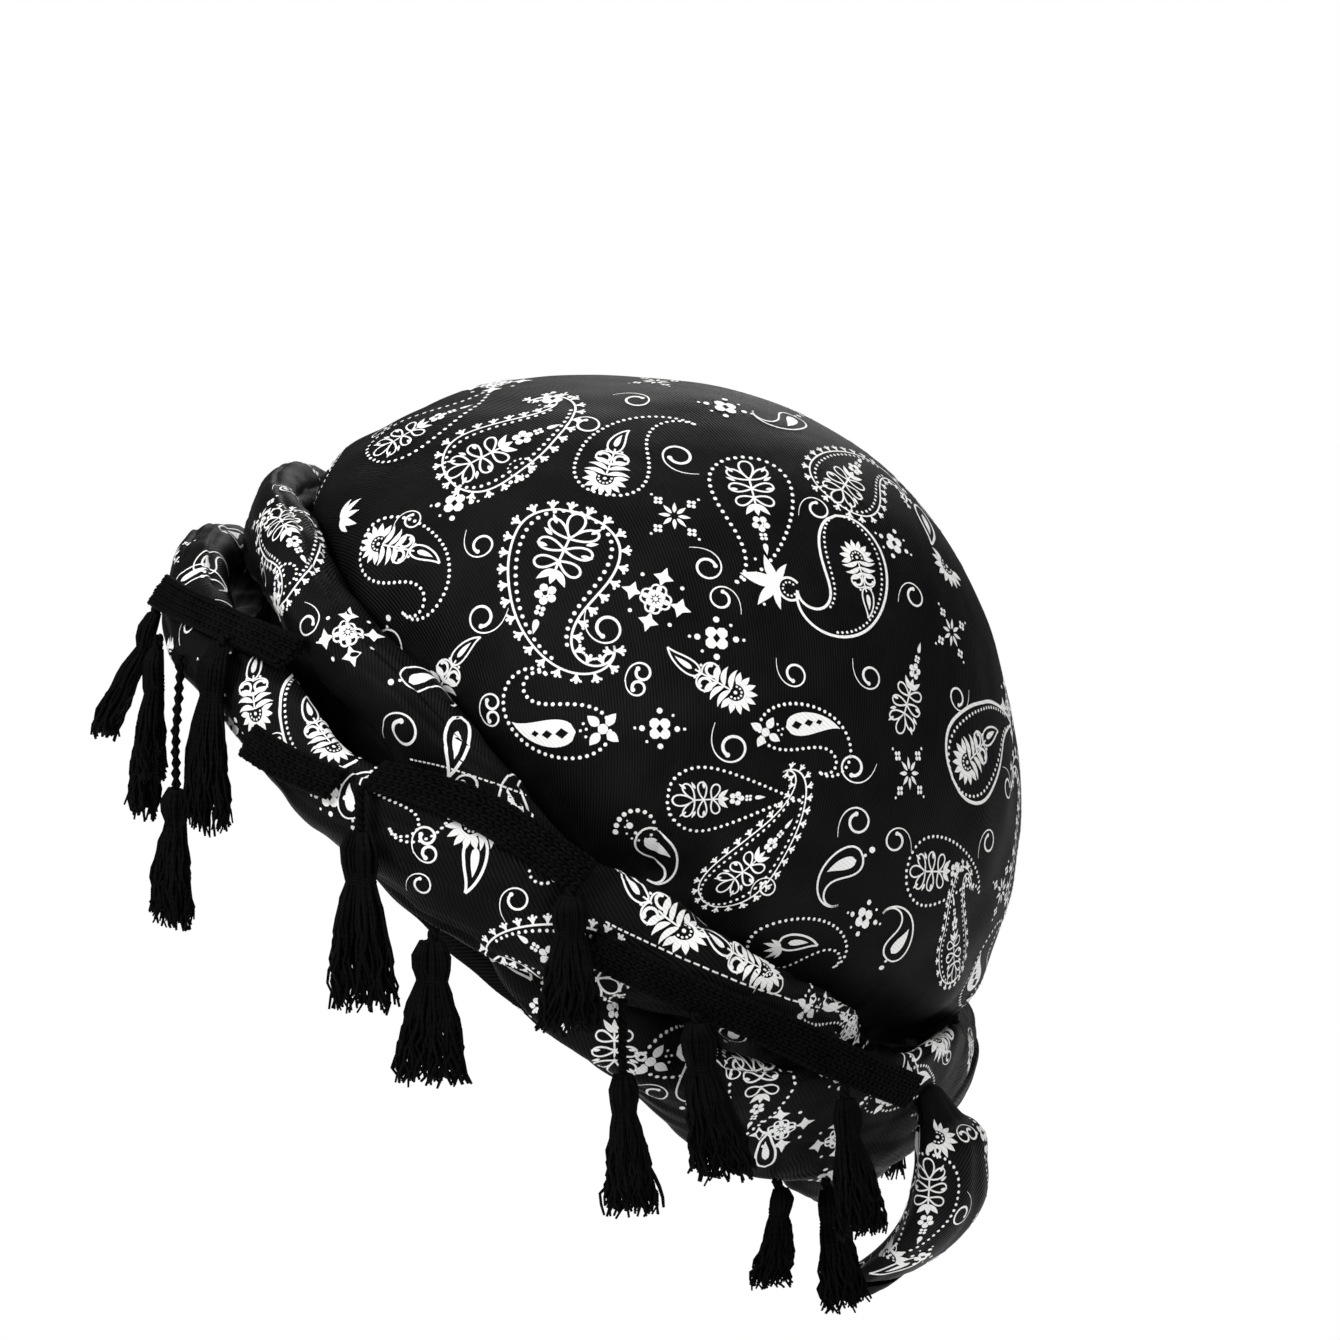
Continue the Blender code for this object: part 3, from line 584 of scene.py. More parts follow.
def strandCloth(which, angle, turn):
    # half of a round pair that turns as it goes: an ellipse set off from the pair's middle, its
    # size cut by three broad folds, narrow creases and ripples, and laid over the cap's bulge
    angle, turn = np.broadcast_arrays(angle, turn)
    degrees, roll = np.degrees(angle), np.degrees(turn)
    pair = pairTurn(angle) + which * math.pi
    offset = np.full(angle.shape, band["offset"])
    for place, width, spread in band["slits"]:
        offset = offset + spread * np.exp(-(turnApart(degrees, place) / width) ** 2)
    size = 1 - band["foldDepth"] * (0.5 + 0.5 * np.cos(band["folds"] * turn + 2 * angle + which))
    radius = 0.5 * (band["halfThickness"] + band["halfBreadth"]) * around(band["halfHeight"], angle)
    for k, (place, wander, depth, width) in enumerate(band["creases"]):
        wavy = np.sin(3 * angle + 1.7 * k + which) + 0.5 * np.sin(7 * angle + k)
        apart = turnApart(roll, place + band["creaseShift"] * which + wander * wavy)
        side = np.where(apart < 0, np.exp(-(apart / width) ** 2), np.exp(-apart / (3.5 * width)))
        fade = 0.25 + 0.75 * smooth(0.5 + 0.9 * np.sin(2 * angle + 2.1 * k))
        size = size - depth * mm * side * fade / radius
    for times, rounds, depth, phase in band["ripples"]:
        size = size + depth * mm * np.sin(times * angle + rounds * turn + phase + which) / radius
    lengthwise = offset + band["halfThickness"] * size * np.cos(turn)
    crosswise = band["halfBreadth"] * size * np.sin(turn)
    x = lengthwise * np.cos(pair) - crosswise * np.sin(pair)
    y = lengthwise * np.sin(pair) + crosswise * np.cos(pair)
    height = around(band["halfHeight"], angle) * y
    out = hat["capThickness"] + band["gap"] + around(band["halfDepth"], angle) * (1 + x)
    return hatPoint(angle, np.maximum(out, capBulge(height) + band["gap"]), height)


def makeStrand(which, name, node):
    # one strand's closed grid; laid flat, u is the way along its middle and v the way round it
    rows, columns = band["around"], band["section"]
    grid = strandCloth(which, fullTurn(rows)[:, None], fullTurn(columns)[None, :])
    section = wayRound(grid)
    section = np.concatenate([section, section[:1]])
    middle = grid.mean(1)
    along = wayAlong(np.concatenate([middle, middle[:1]]))
    flat = np.stack(np.broadcast_arrays(along[:, None], section), -1).reshape(-1, 2)
    faces, flatFaces = gridCorners(rows, columns, wrapRows=True, wrapColumns=True)
    piece = addPiece(name, grid, [faces], [materials["blackCloth"]], flat[flatFaces])
    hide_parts(node)
    return dict(outer=grid, normals=gridNormals(grid, True, True), section=section, closedSection=True)


strandSurfaces = [makeStrand(0, "twistStrandA", "wrap_strand_a"), makeStrand(1, "twistStrandB", "wrap_strand_b")]
print("strands made")


# Shapes of ink, as grids of flat points in millimetres: x to the right, y up
def blade(points, half, across=2):
    # a shape along a line: the line's points moved to both sides by a half width
    points = np.asarray(points, float)
    along = unit(np.gradient(points, axis=0))
    side = np.stack([-along[:, 1], along[:, 0]], 1) * np.broadcast_to(half, len(points))[:, None]
    return (points[:, None] + side[:, None] * np.linspace(1, -1, across)[None, :, None])[None]


def line(points, width):
    # a blade of even width, or of a width for each point
    return blade(points, np.asarray(width) / 2)


def dots(centres, radius):
    # each dot is an octagon of three quads
    centres = np.atleast_2d(centres)
    radius = np.broadcast_to(radius, len(centres))[:, None, None]
    turn = np.radians([22.5, 67.5, 112.5, 157.5])
    x = np.stack([-np.cos(turn), -np.cos(turn)], 1)[None] * radius
    y = np.stack([np.sin(turn), -np.sin(turn)], 1)[None] * radius
    return centres[:, None, None] + np.stack([x, y], -1)


def evenly(points, spacing):
    # points at equal steps along a line, and the direction to its left at each
    run = wayAlong(points)
    at = np.arange(spacing / 2, run[-1], spacing)

    def pointAt(way):
        return np.stack([np.interp(way, run, points[:, k]) for k in (0, 1)], 1)
    ahead = unit(pointAt(at + 0.05) - pointAt(at - 0.05))
    return pointAt(at), np.stack([-ahead[:, 1], ahead[:, 0]], 1)


def runOf(length, curl, power, count=40):
    # a line from the origin upwards whose heading turns by curl, slowly at first: curl * way ** power
    s = np.linspace(0, 1, count)
    heading = np.radians(curl) * s**power
    step = np.stack([np.sin(heading), np.cos(heading)], 1) * length / (count - 1)
    return np.concatenate([[[0, 0]], np.cumsum((step[:-1] + step[1:]) / 2, 0)])


def drop(length, breadth, curl, taper=2.1, power=3.5, count=72):
    # a curved drop's midline and half breadth, which grows as a square root and tapers to the tip;
    # its round end lies below, its body's middle at the origin
    middle = runOf(length, curl, power, count)
    s = np.linspace(0, 1, count)
    fullest = 0.5 / (0.5 + taper)
    half = breadth / 2 * np.sqrt(s / fullest) * ((1 - s) / (1 - fullest)) ** taper
    return middle - [0, length * fullest * 1.35], half


def outlineOf(middle, half):
    # the closed line round a drop, from its tip down the left side and up the right
    along = unit(np.gradient(middle, axis=0))
    side = np.stack([along[:, 1], -along[:, 0]], 1) * half[:, None]
    return np.concatenate([(middle - side)[:0:-1], middle[:1], (middle + side)[1:]])


def turned(shapes, degrees, move=(0, 0), size=1.0):
    # shapes turned clockwise, scaled and moved
    c, s = math.cos(math.radians(degrees)), math.sin(math.radians(degrees))
    spin = np.array([[c, -s], [s, c]])
    return [(tone, shape @ spin * size + np.asarray(move)) for tone, shape in shapes]


def ink(*shapes):
    # shapes in the print's white; the tone 1 is the cloth's black, laid over it
    return [(0, shape) for shape in shapes]


def bearing(degrees, radius=1.0):
    # places on a circle, their directions clockwise from straight up
    turn = np.radians(degrees)
    return np.stack([np.sin(turn), np.cos(turn)], -1) * radius


def roundCircle(shapes, degrees, radius=0.0, size=1.0):
    # the same shapes in each direction, turned to point away from the circle's middle
    return [part for each in degrees for part in turned(shapes, each, bearing(each, radius), size)]


quarters, diagonals = (0, 90, 180, 270), (45, 135, 225, 315)


def curled(length, curl, power, count, thin, thick, end):
    # a line that thickens as it curls up to a round end
    middle = runOf(length, curl, power, count)
    return ink(line(middle, np.linspace(thin, thick, count)), dots(middle[-1:], end))


def loop(length, breadth, width=0.65):
    # a petal drawn as one closed line, from the origin up and back
    t = np.linspace(0.12, 2 * math.pi - 0.12, 22)
    across = breadth / 2 * np.sin(t) * np.sin(t / 2) * 1.25
    return ink(line(np.stack([across, length * (1 - np.cos(t)) / 2], 1), width))


def leaf(length, breadth, curl=0.0):
    # a solid pointed leaf, from the origin up
    s = np.linspace(0.02, 1, 9)
    return ink(blade(runOf(length, curl, 1.0, 9), breadth / 2 * np.sin(math.pi * s**0.8) + 0.04))


def seed(length, breadth):
    # a solid drop, round below and pointed above
    middle, half = drop(length, breadth, 0, taper=1.2, power=1.5, count=12)
    return ink(blade(middle, np.maximum(half, 0.05), 3))


def rosette(petals, radius, size):
    # round petals on a circle
    return ink(dots(bearing(np.arange(petals) * 360 / petals, radius), size))


def diamond(size):
    # a rhombus, a little taller than wide
    return blade([[0, -size], [0, 0], [0, size]], [0.05, size * 0.8, 0.05])


def flowerSmall():
    # five petals and a hub with a dot left out
    return rosette(5, 1.9, 1.15) + ink(dots([[0, 0]], 0.9)) + [(1, dots([[0.3, -0.2]], 0.7))]


def crossSmall(size=1.0):
    # four dots in a cross
    return roundCircle(ink(dots([[0, 1.0]], 0.68)), quarters, size=size)


def flowerFour():
    # four petals and a hub with a diamond left out, dots at its points and further out
    petals = turned(rosette(4, 2.2, 1.75), 45) + ink(dots([[0, 0]], 2.2)) + [(1, diamond(1.35))]
    far = dots([[7.9, 0], [-7.9, 0], [4.2, 4.2], [-4.2, -4.2]], 0.5)
    return petals + roundCircle(ink(dots([[0, 5.6]], 0.95)), quarters) + ink(far)


def spray(count, radius, length, breadth, offset=0.0):
    # leaves set round a circle, each pointing away from its middle
    return roundCircle(leaf(length, breadth), offset + np.arange(count) * 360 / count, radius)


def star():
    # eight leaves, and a cross and a dot beyond each corner
    return spray(8, 1.3, 3.8, 1.25) + roundCircle(crossSmall(1.05) + ink(dots([[0, 3.2]], 0.5)), diagonals, 7.6)


def ornament():
    # eight petals, four hollow-sided kites at the corners, and a pair of scrolls between neighbours
    kite = blade([[0, -2.8], [0, -1.2], [0, 0.0], [0, 1.3], [0, 3.6]], [0.2, 1.0, 3.3, 1.1, 0.1])
    shapes = spray(8, 1.0, 3.3, 1.3) + ink(dots([[0, 0]], 0.8)) + roundCircle(ink(kite), quarters, 7.8)
    for flip in (-1, 1):
        shapes += roundCircle(turned(curled(8.2, 330 * flip, 1.2, 20, 0.5, 1.0, 0.6), 5 * flip), diagonals, 2.6)
    return shapes + roundCircle(ink(dots([[0, 9.2]], 0.7)), diagonals)


def halfSun():
    # pointed petals over most of a circle, round a band and a ring of dots, opening upwards
    shapes = roundCircle(leaf(4.4, 1.95), np.linspace(78, 282, 9), 3.0)
    shapes += ink(line(bearing(np.linspace(70, 290, 20), 3.6), 1.3))
    return shapes + ink(dots(bearing(np.linspace(80, 280, 7), 2.1), 0.40), dots([[0, -0.1]], 0.65))


def feather():
    # a half sun, three pairs of flame leaves, two scrolls and an outlined drop, in one spray
    shapes = turned(halfSun(), 0, (0, -9.5)) + ink(line([[0, -8.0], [0, -3], [0, 2.5]], 0.6))
    for flip in (-1, 1):
        for low, turn, size in ((-8.0, 52, 7.6), (-5.6, 46, 7.0), (-3.3, 40, 6.0)):
            shapes += turned(leaf(size, 1.75, 58 * flip), turn * flip, (flip * 0.3, low))
        shapes += turned(curled(19.0, 440 * flip, 1.3, 32, 0.5, 1.0, 0.75), 62 * flip, (0, 2.2))
    shapes += turned(leafLine(), 6, (0, 8.2), 0.80)
    return shapes + ink(line([[0, 2.0], [0, 4.6]], 0.6), dots([[-2.4, 3.6], [2.4, 3.6]], 0.5))


def loopTree():
    # a stem with outlined loops in pairs, small leaves between, three leaves, a flower, a cross and a seed
    shapes = turned(loop(7.6, 4.6), 180, (0, -7.0)) + ink(line([[0, -7.8], [0, -4], [0, 0.5], [0, 4]], 0.65))
    for low, turn, length in ((-6.9, 120, 7.4), (-3.4, 96, 7.2), (0.0, 72, 6.4)):
        for flip in (-1, 1):
            shapes += turned(loop(length, 3.5), turn * flip, (0, low))
            shapes += turned(leaf(3.0, 1.0), (turn + 22) * flip, (flip * 4.6, low - 3.2))
    for turn, length in ((-58, 5.4), (58, 5.4), (0, 4.0)):
        shapes += turned(leaf(length, 1.9, -turn * 0.4), turn, (0, 2.6))
    above = turned(crossSmall(0.95), 45, (0, 14.3)) + turned(seed(4.2, 1.7), 0, (0, 18.4))
    return shapes + turned(flowerSmall(), 0, (0, 9.6)) + above


def teeth(points, spacing):
    # knobs along a line's outer side: a stem that widens, under a head of three dots
    at, left = evenly(points, spacing)
    out = -left
    along = np.stack([out[:, 1], -out[:, 0]], 1)
    widths = ((0.1, 0.30), (0.9, 0.50), (1.7, 1.00), (2.3, 1.30))
    stem = np.stack([np.stack([at + out * h - along * w, at + out * h + along * w], 1) for h, w in widths], 1)
    heads = ((2.2, -1.15, 0.42), (2.2, 1.15, 0.42), (2.65, 0.0, 0.48))
    return ink(stem, *[dots(at + out * h + along * w, r) for h, w, r in heads])


def dotted(middle, half, spacing, radius):
    # a row of dots round a drop
    return ink(dots(evenly(outlineOf(middle, half), spacing)[0], radius))


def lined(middle, half, width, points, share, less, trim, spacing, radius):
    # a line round a drop, and inside it a row of dots that stops short of the tip
    inner = outlineOf(middle[:points], half[:points] * share - less)[trim:-trim]
    return ink(line(outlineOf(middle, half), width), dots(evenly(inner, spacing)[0], radius))


def toothed():
    # a drop with a thin outline, knobs outside, a row of dots inside and the loop tree in its body
    body = drop(62, 28, -215)
    shapes = lined(*body, 0.65, 52, 0.90, 0.9, 3, 2.3, 0.58) + teeth(outlineOf(*body), 4.6)
    return shapes + turned(loopTree(), 0, (0, -0.8), 1.02)


def toothedLong():
    # the same, longer and turned the other way
    body = drop(66, 24, -150, taper=1.7, power=4.5)
    shapes = lined(*body, 0.65, 56, 0.88, 0.9, 3, 2.3, 0.58) + teeth(outlineOf(*body), 4.6)
    return shapes + turned(loopTree(), 0, (0, 0.5), 0.95)


def dottedLoops(curl=70.0):
    # the loop tree in a drop of dots
    return dotted(*drop(48, 24, curl, taper=1.6), 2.3, 0.62) + turned(loopTree(), 0, (0, -0.3), 0.92)


def dottedPoint():
    # the same, less curved
    return dottedLoops(8.0)


def dottedFeather(curl=230.0):
    # the feather in a drop of dots
    return dotted(*drop(60, 25, curl, taper=1.9, power=2.6), 2.3, 0.66) + turned(feather(), 6, (-0.2, 0.6), 1.06)


def dottedFeatherOpen():
    # the same, less curled
    return dottedFeather(120.0)


def linedFeather():
    # the feather in a drop with a line and a row of dots
    shapes = lined(*drop(50, 26, 60, taper=1.5), 1.0, 60, 0.88, 0.8, 2, 1.9, 0.5)
    return shapes + turned(feather(), 4, (0, 0.6), 0.92)


def flamed():
    # a lined drop that hooks over, with a dotted ring at its tip under a crest of solid leaves
    body = drop(64, 25, 205, taper=1.35, power=2.4)
    shapes = lined(*body, 1.0, 54, 0.88, 0.8, 2, 1.9, 0.5) + turned(feather(), 6, (0.2, 1.2), 0.88)
    ring = np.linspace(-30, 250, 26)
    hub = body[0][-1] + np.array([2.8, -1.0])
    shapes += ink(line(bearing(ring, 4.2) + hub, 0.9), dots(bearing(ring[::3], 2.5) + hub, 0.42))
    for turn, length, breadth in ((-88, 9.5, 2.8), (-48, 12.0, 3.8), (0, 14.5, 5.0), (48, 12.0, 3.8), (88, 9.5, 2.8)):
        shapes += turned(leaf(length, breadth, turn * 0.4), turn + 120, hub + np.array([4.0, -2.4]))
    return shapes + ink(dots(hub + np.array([[12.0, 3.5], [8.5, -13.5]]), 0.6))


def seeded():
    # a drop of dots round a solid drop with three diamonds left out, a four-leaf flower at its round end
    core, coreHalf = drop(19, 7.6, 40, taper=1.1, power=2.0, count=18)
    shapes = dotted(*drop(46, 15, 230, taper=1.5, power=2.6), 2.0, 0.58)
    shapes += ink(blade(core + [0, 2.0], np.maximum(coreHalf, 0.05), 4))
    holes = [(1, diamond(s) + np.array([x, y])) for x, y, s in ((0, -2.2, 1.8), (0.1, 2.0, 1.5), (0.6, 5.5, 1.1))]
    shapes += turned(spray(4, 1.5, 4.2, 2.7, 45), 0, (0, -13.4)) + ink(dots([[0, -13.4]], 1.5))
    return shapes + ink(dots([[-1.6, -8.6], [0.4, -8.9], [2.0, -8.2], [0.2, -7.3]], 0.42)) + holes


def pod():
    # a thin outline with a hooked tip, a solid drop inside it and dots at its round end
    core, coreHalf = drop(9.5, 3.6, 20, taper=1.1, count=12)
    shapes = ink(line(outlineOf(*drop(26, 8.6, 190, taper=2.3, power=2.2)), 0.6))
    shapes += ink(blade(core + [0.3, 0.0], np.maximum(coreHalf, 0.05), 3))
    return shapes + ink(dots([[-0.4, -7.0]], 0.5), dots([[-1.4, -9.4]], 0.95))


def scroll():
    # a hair line that thickens as it curls, its middle at the origin
    run = (33.0, 440.0, 1.6, 44)
    return turned(curled(*run, 0.18, 1.0, 0.75), 0, -runOf(*run).mean(0))


def twinScroll():
    # two curls that leave one place in opposite directions
    first = turned(curled(20, 400, 1.7, 34, 0.3, 0.95, 0.7), -20, (-1, 0))
    return first + turned(curled(16, -390, 1.5, 30, 0.3, 0.95, 0.7), 150, (-1, 0.4))


def dotCurl():
    # dots that shrink along a curl
    at = evenly(runOf(40, 420, 1.3, 50), 2.3)[0]
    return ink(dots(at - [3, 10], np.linspace(0.95, 0.3, len(at))))


def palmette():
    # five leaves spread like a palm's
    fan = ((-78, 7), (-42, 9), (0, 8), (42, 9), (78, 7))
    return [part for turn, length in fan for part in turned(leaf(length, 2.3, -turn * 0.5), turn)]


def leafLine():
    # an outlined drop with a solid one inside
    core, coreHalf = drop(8, 2.3, 10, taper=1.0, count=10)
    edge = line(outlineOf(*drop(16, 6.2, 30, taper=1.1, count=20)), 0.8)
    return ink(edge, blade(core + [0, 0.3], np.maximum(coreHalf, 0.05)))


def dottedLeaf():
    # an outlined drop and a palmette in a drop of dots
    inside = turned(leafLine(), 20, (0, 2)) + turned(palmette(), 180, (0, -4), 0.7)
    return dotted(*drop(46, 20, 160, taper=1.6), 2.2, 0.6) + inside


motifs = {shapes.__name__: shapes for shapes in (
    toothed, toothedLong, dottedLoops, dottedPoint, dottedFeather, dottedFeatherOpen, linedFeather, flamed, seeded, pod, scroll,
    twinScroll, dotCurl, palmette, leafLine, dottedLeaf, flowerFour, star, ornament, halfSun, feather, loopTree, crossSmall,
)}

inkLayer = dict(lift=0.00012, secondLift=0.00018, lineSteps=800, eyeHeight=0.35)


def capPlace(angle, height, local):
    # the flat point held against the cap at the motif's middle, then moved to the cap along the line
    # from the middle of the head, which gives its angle and its share of the outline
    dense = np.linspace(0, 1, inkLayer["lineSteps"])
    outline = alongTable(cap["outline"], dense, level=True)
    eye = inkLayer["eyeHeight"]
    slope = np.arctan2(outline[:, 0] - eye, outline[:, 1])

    def smoothPoint(a, h):
        reach = np.interp(h, outline[:, 0], outline[:, 1])
        return capPoint(np.array(a), np.array(h), reach, hat["capThickness"] - hat["hemWall"])
    middle = smoothPoint(angle, height)
    east = unit(smoothPoint(angle + 0.001, height) - middle)
    normal = unit(np.cross(east, smoothPoint(angle, height + 0.001) - middle))
    points = middle + mm * (local[..., :1] * east + local[..., 1:] * np.cross(normal, east))
    half = (hat["headHalfLength"], hat["headHalfWidth"], hat["crownRise"])
    rear, left, rise = (points @ axis / size for axis, size in zip((rearward, leftward, crownward), half))
    share = np.interp(np.arctan2(rise - eye, np.hypot(rear, left)), slope, dense)
    row = (np.arctan2(left, -rear) / (2 * math.pi) % 1) * cap["around"]
    return row, share * cap["up"]


def strandPlace(surface, angle, roll, local):
    # steps along the strand and round its section, both as true lengths at the motif's middle
    grid, section = surface["outer"], surface["section"]
    rows, columns = grid.shape[:2]
    i, j = int(round(angle / (2 * math.pi) * rows)) % rows, int(round(roll / (2 * math.pi) * columns)) % columns
    alongStep = (grid[(i + 3) % rows, j] - grid[i - 3, j]) / 6
    roundStep = unit(grid[i, (j + 1) % columns] - grid[i, j - 1])
    east = unit(alongStep)
    up = np.cross(surface["normals"][i, j], east)
    want = mm * (local[..., :1] * east + local[..., 1:] * up)
    solved = want @ np.linalg.pinv(np.stack([alongStep, roundStep], 1)).T
    target = (section[i][j] + solved[..., 1]) % section[i][-1]
    return i + solved[..., 0], np.interp(target, section[i], np.arange(columns + 1))


def facingOut(points, faces, outwards):
    # quads, each reversed that looks against its outward direction
    a, b, _, d = (points[faces[:, k]] for k in range(4))
    against = np.einsum("ij,ij->i", np.cross(b - a, d - a), outwards) < 0
    faces[against] = faces[against][:, ::-1]
    return faces


def printCloth(name, surface, rows, place):
    # every motif's grids, turned to their place, laid on the cloth and joined into one mesh
    points, faces, tones, at = [], [], [], 0
    for kind, turn, scale, where in rows:
        for tone, local in turned([(tone, shape * scale) for tone, shape in motifs[kind]()], turn):
            row, column = place(*where, local)
            laid = onGrid(surface, row, column, inkLayer["secondLift" if tone else "lift"])
            cells, _ = gridCorners(*laid.shape[1:3])
            block = (cells + np.arange(len(laid))[:, None, None] * laid.shape[1] * laid.shape[2]).reshape(-1, 4)
            laid = laid.reshape(-1, 3)
            sides = surfaceSide(surface, row, column).reshape(-1, 3)
            points.append(laid)
            faces.append(facingOut(laid, block, sides[block[:, 0]]) + at)
            tones.append(np.full(len(block), tone))
            at += len(laid)
    points, faces = np.concatenate(points), np.concatenate(faces)
    inks = [materials["whiteInk"], materials["blackCloth"]]
    return addPiece(name, points, [faces], inks, points[faces][..., 1:], np.concatenate(tones))


def surfaceSide(surface, row, column):
    # the cloth's normal at the grid point nearest to a place
    rows, columns = surface["normals"].shape[:2]
    i, j = np.round(row).astype(int) % rows, np.round(column).astype(int)
    j = j % columns if surface["closedSection"] else np.clip(j, 0, columns - 1)
    return surface["normals"][i, j]


capPrint = dict(
    # angle round from the front, height as a share of the rise, turn clockwise, size (below 0 when
    # mirrored) and, where it isn't 1, breadth as a share
    toothed=(
        (60, 0.52, 152, 1.06), (32, 0.57, 0, 1), (79, 0.965, -10, -0.78), (151, 0.4, -38, -0.78, 0.55),
        (180, 0.56, 20, 1),
    ),
    dottedLoops=((15, 0.46, -11, -0.95), (68.5, 0.845, 125, 0.95), (140, 0.515, 69, 0.8)),
    dottedFeatherOpen=((45, 0.72, -50, 0.8),),
    dottedFeather=((41, 0.31, 53, 0.8),),
    flowerFour=(
        (39.5, 0.45, -52, 0.9), (111, 0.935, -8, 0.8), (26, 0.91, -70, 0.9), (85.5, 0.62, -39, 0.95),
        (130, 0.36, -14, 0.85, 0.8), (88, 0.42, -40, 0.85), (17, 0.7, -80, 0.9),
    ),
    star=(
        (63.5, 0.73, -46, 0.85), (139, 0.875, 4, 0.8), (127, 0.64, -27, 0.85, 0.8), (0, 0.84, 12, 0.8),
        (165, 0.52, 60, 0.8),
    ),
    ornament=((74.3, 0.6, -25, 0.86), (176, 0.8, 10, 0.9), (0, 0.62, 8, 0.9)),
    flamed=((103, 0.865, 132, 0.8),),
    halfSun=((149, 0.95, 32, 0.9),),
    pod=(
        (25, 0.965, 116, 0.9), (122, 0.43, -137, -1), (138, 0.355, 9, -0.9), (50, 0.15, 133, 0.95), (98, 0.23, 81, 1),
        (196, 0.46, 40, 0.9),
    ),
    leafLine=((153, 0.98, -164, 1),),
    scroll=(
        (50, 0.8, -153, 1), (75, 0.71, 41, 0.9), (82, 0.685, -38, -0.8), (80, 0.9, -35, 0.8), (120, 0.89, -12, 0.8),
        (99, 0.655, 148, -0.8), (112, 0.735, 157, -0.8), (97, 0.475, 163, -1), (141, 0.79, 177, 0.8),
        (117, 0.59, 173, 0.9), (120, 0.51, -33, 0.9), (129, 0.53, -32, -0.8), (153, 0.6, -21, 0.8),
        (113, 0.3, -37, 0.6), (72, 0.49, 154, -1), (60, 0.345, 151, 0.95), (49, 0.43, 143, -0.9), (21, 0.81, -14, 0.9),
        (32, 0.72, -60, 0.9), (37, 0.36, -40, 0.7), (164, 0.7, 90, 0.8), (196, 0.72, 30, -0.8), (6, 0.4, 30, 0.8),
    ),
    feather=((88.5, 0.555, -101, 0.88, 0.9), (60.5, 0.21, -4, 0.92, 0.9), (190, 0.3, 160, 0.9)),
    seeded=((105, 0.6, 40, 0.86), (78, 0.275, -137, 0.95), (169, 0.33, -60, 0.9), (0, 0.26, 70, 0.9)),
    loopTree=((123.5, 0.75, -1, 0.8, 0.9),),
    linedFeather=((149, 0.735, 46, 1),),
    dottedPoint=((100, 0.375, 52, 0.8, 0.95),),
    toothedLong=((110, 0.315, 8, 0.86, 0.62),),
    dottedLeaf=((122, 0.235, 40, 0.8),),
    twinScroll=((69, 0.2, -32, 0.9), (80.5, 0.445, -12, 0.95), (60, 0.06, -36, 1)),
    dotCurl=((91, 0.255, -40, 0.85), (43, 0.6, 40, -0.75)),
    palmette=((27, 0.25, 35, 0.9),),
)


def capRows():
    # the left side's motifs, and the same ones mirrored for the side that the photograph hides
    rows = []
    for kind, places in capPrint.items():
        for angle, height, turn, size, *breadth in places:
            wide, high = size * (breadth or [1.0])[0], abs(size)
            rows.append((kind, turn, (wide, high), (math.radians(angle), height)))
            if 12 < angle < 160:
                rows.append((kind, -turn, (-wide, high), (math.radians(-angle - 4), height)))
    return rows


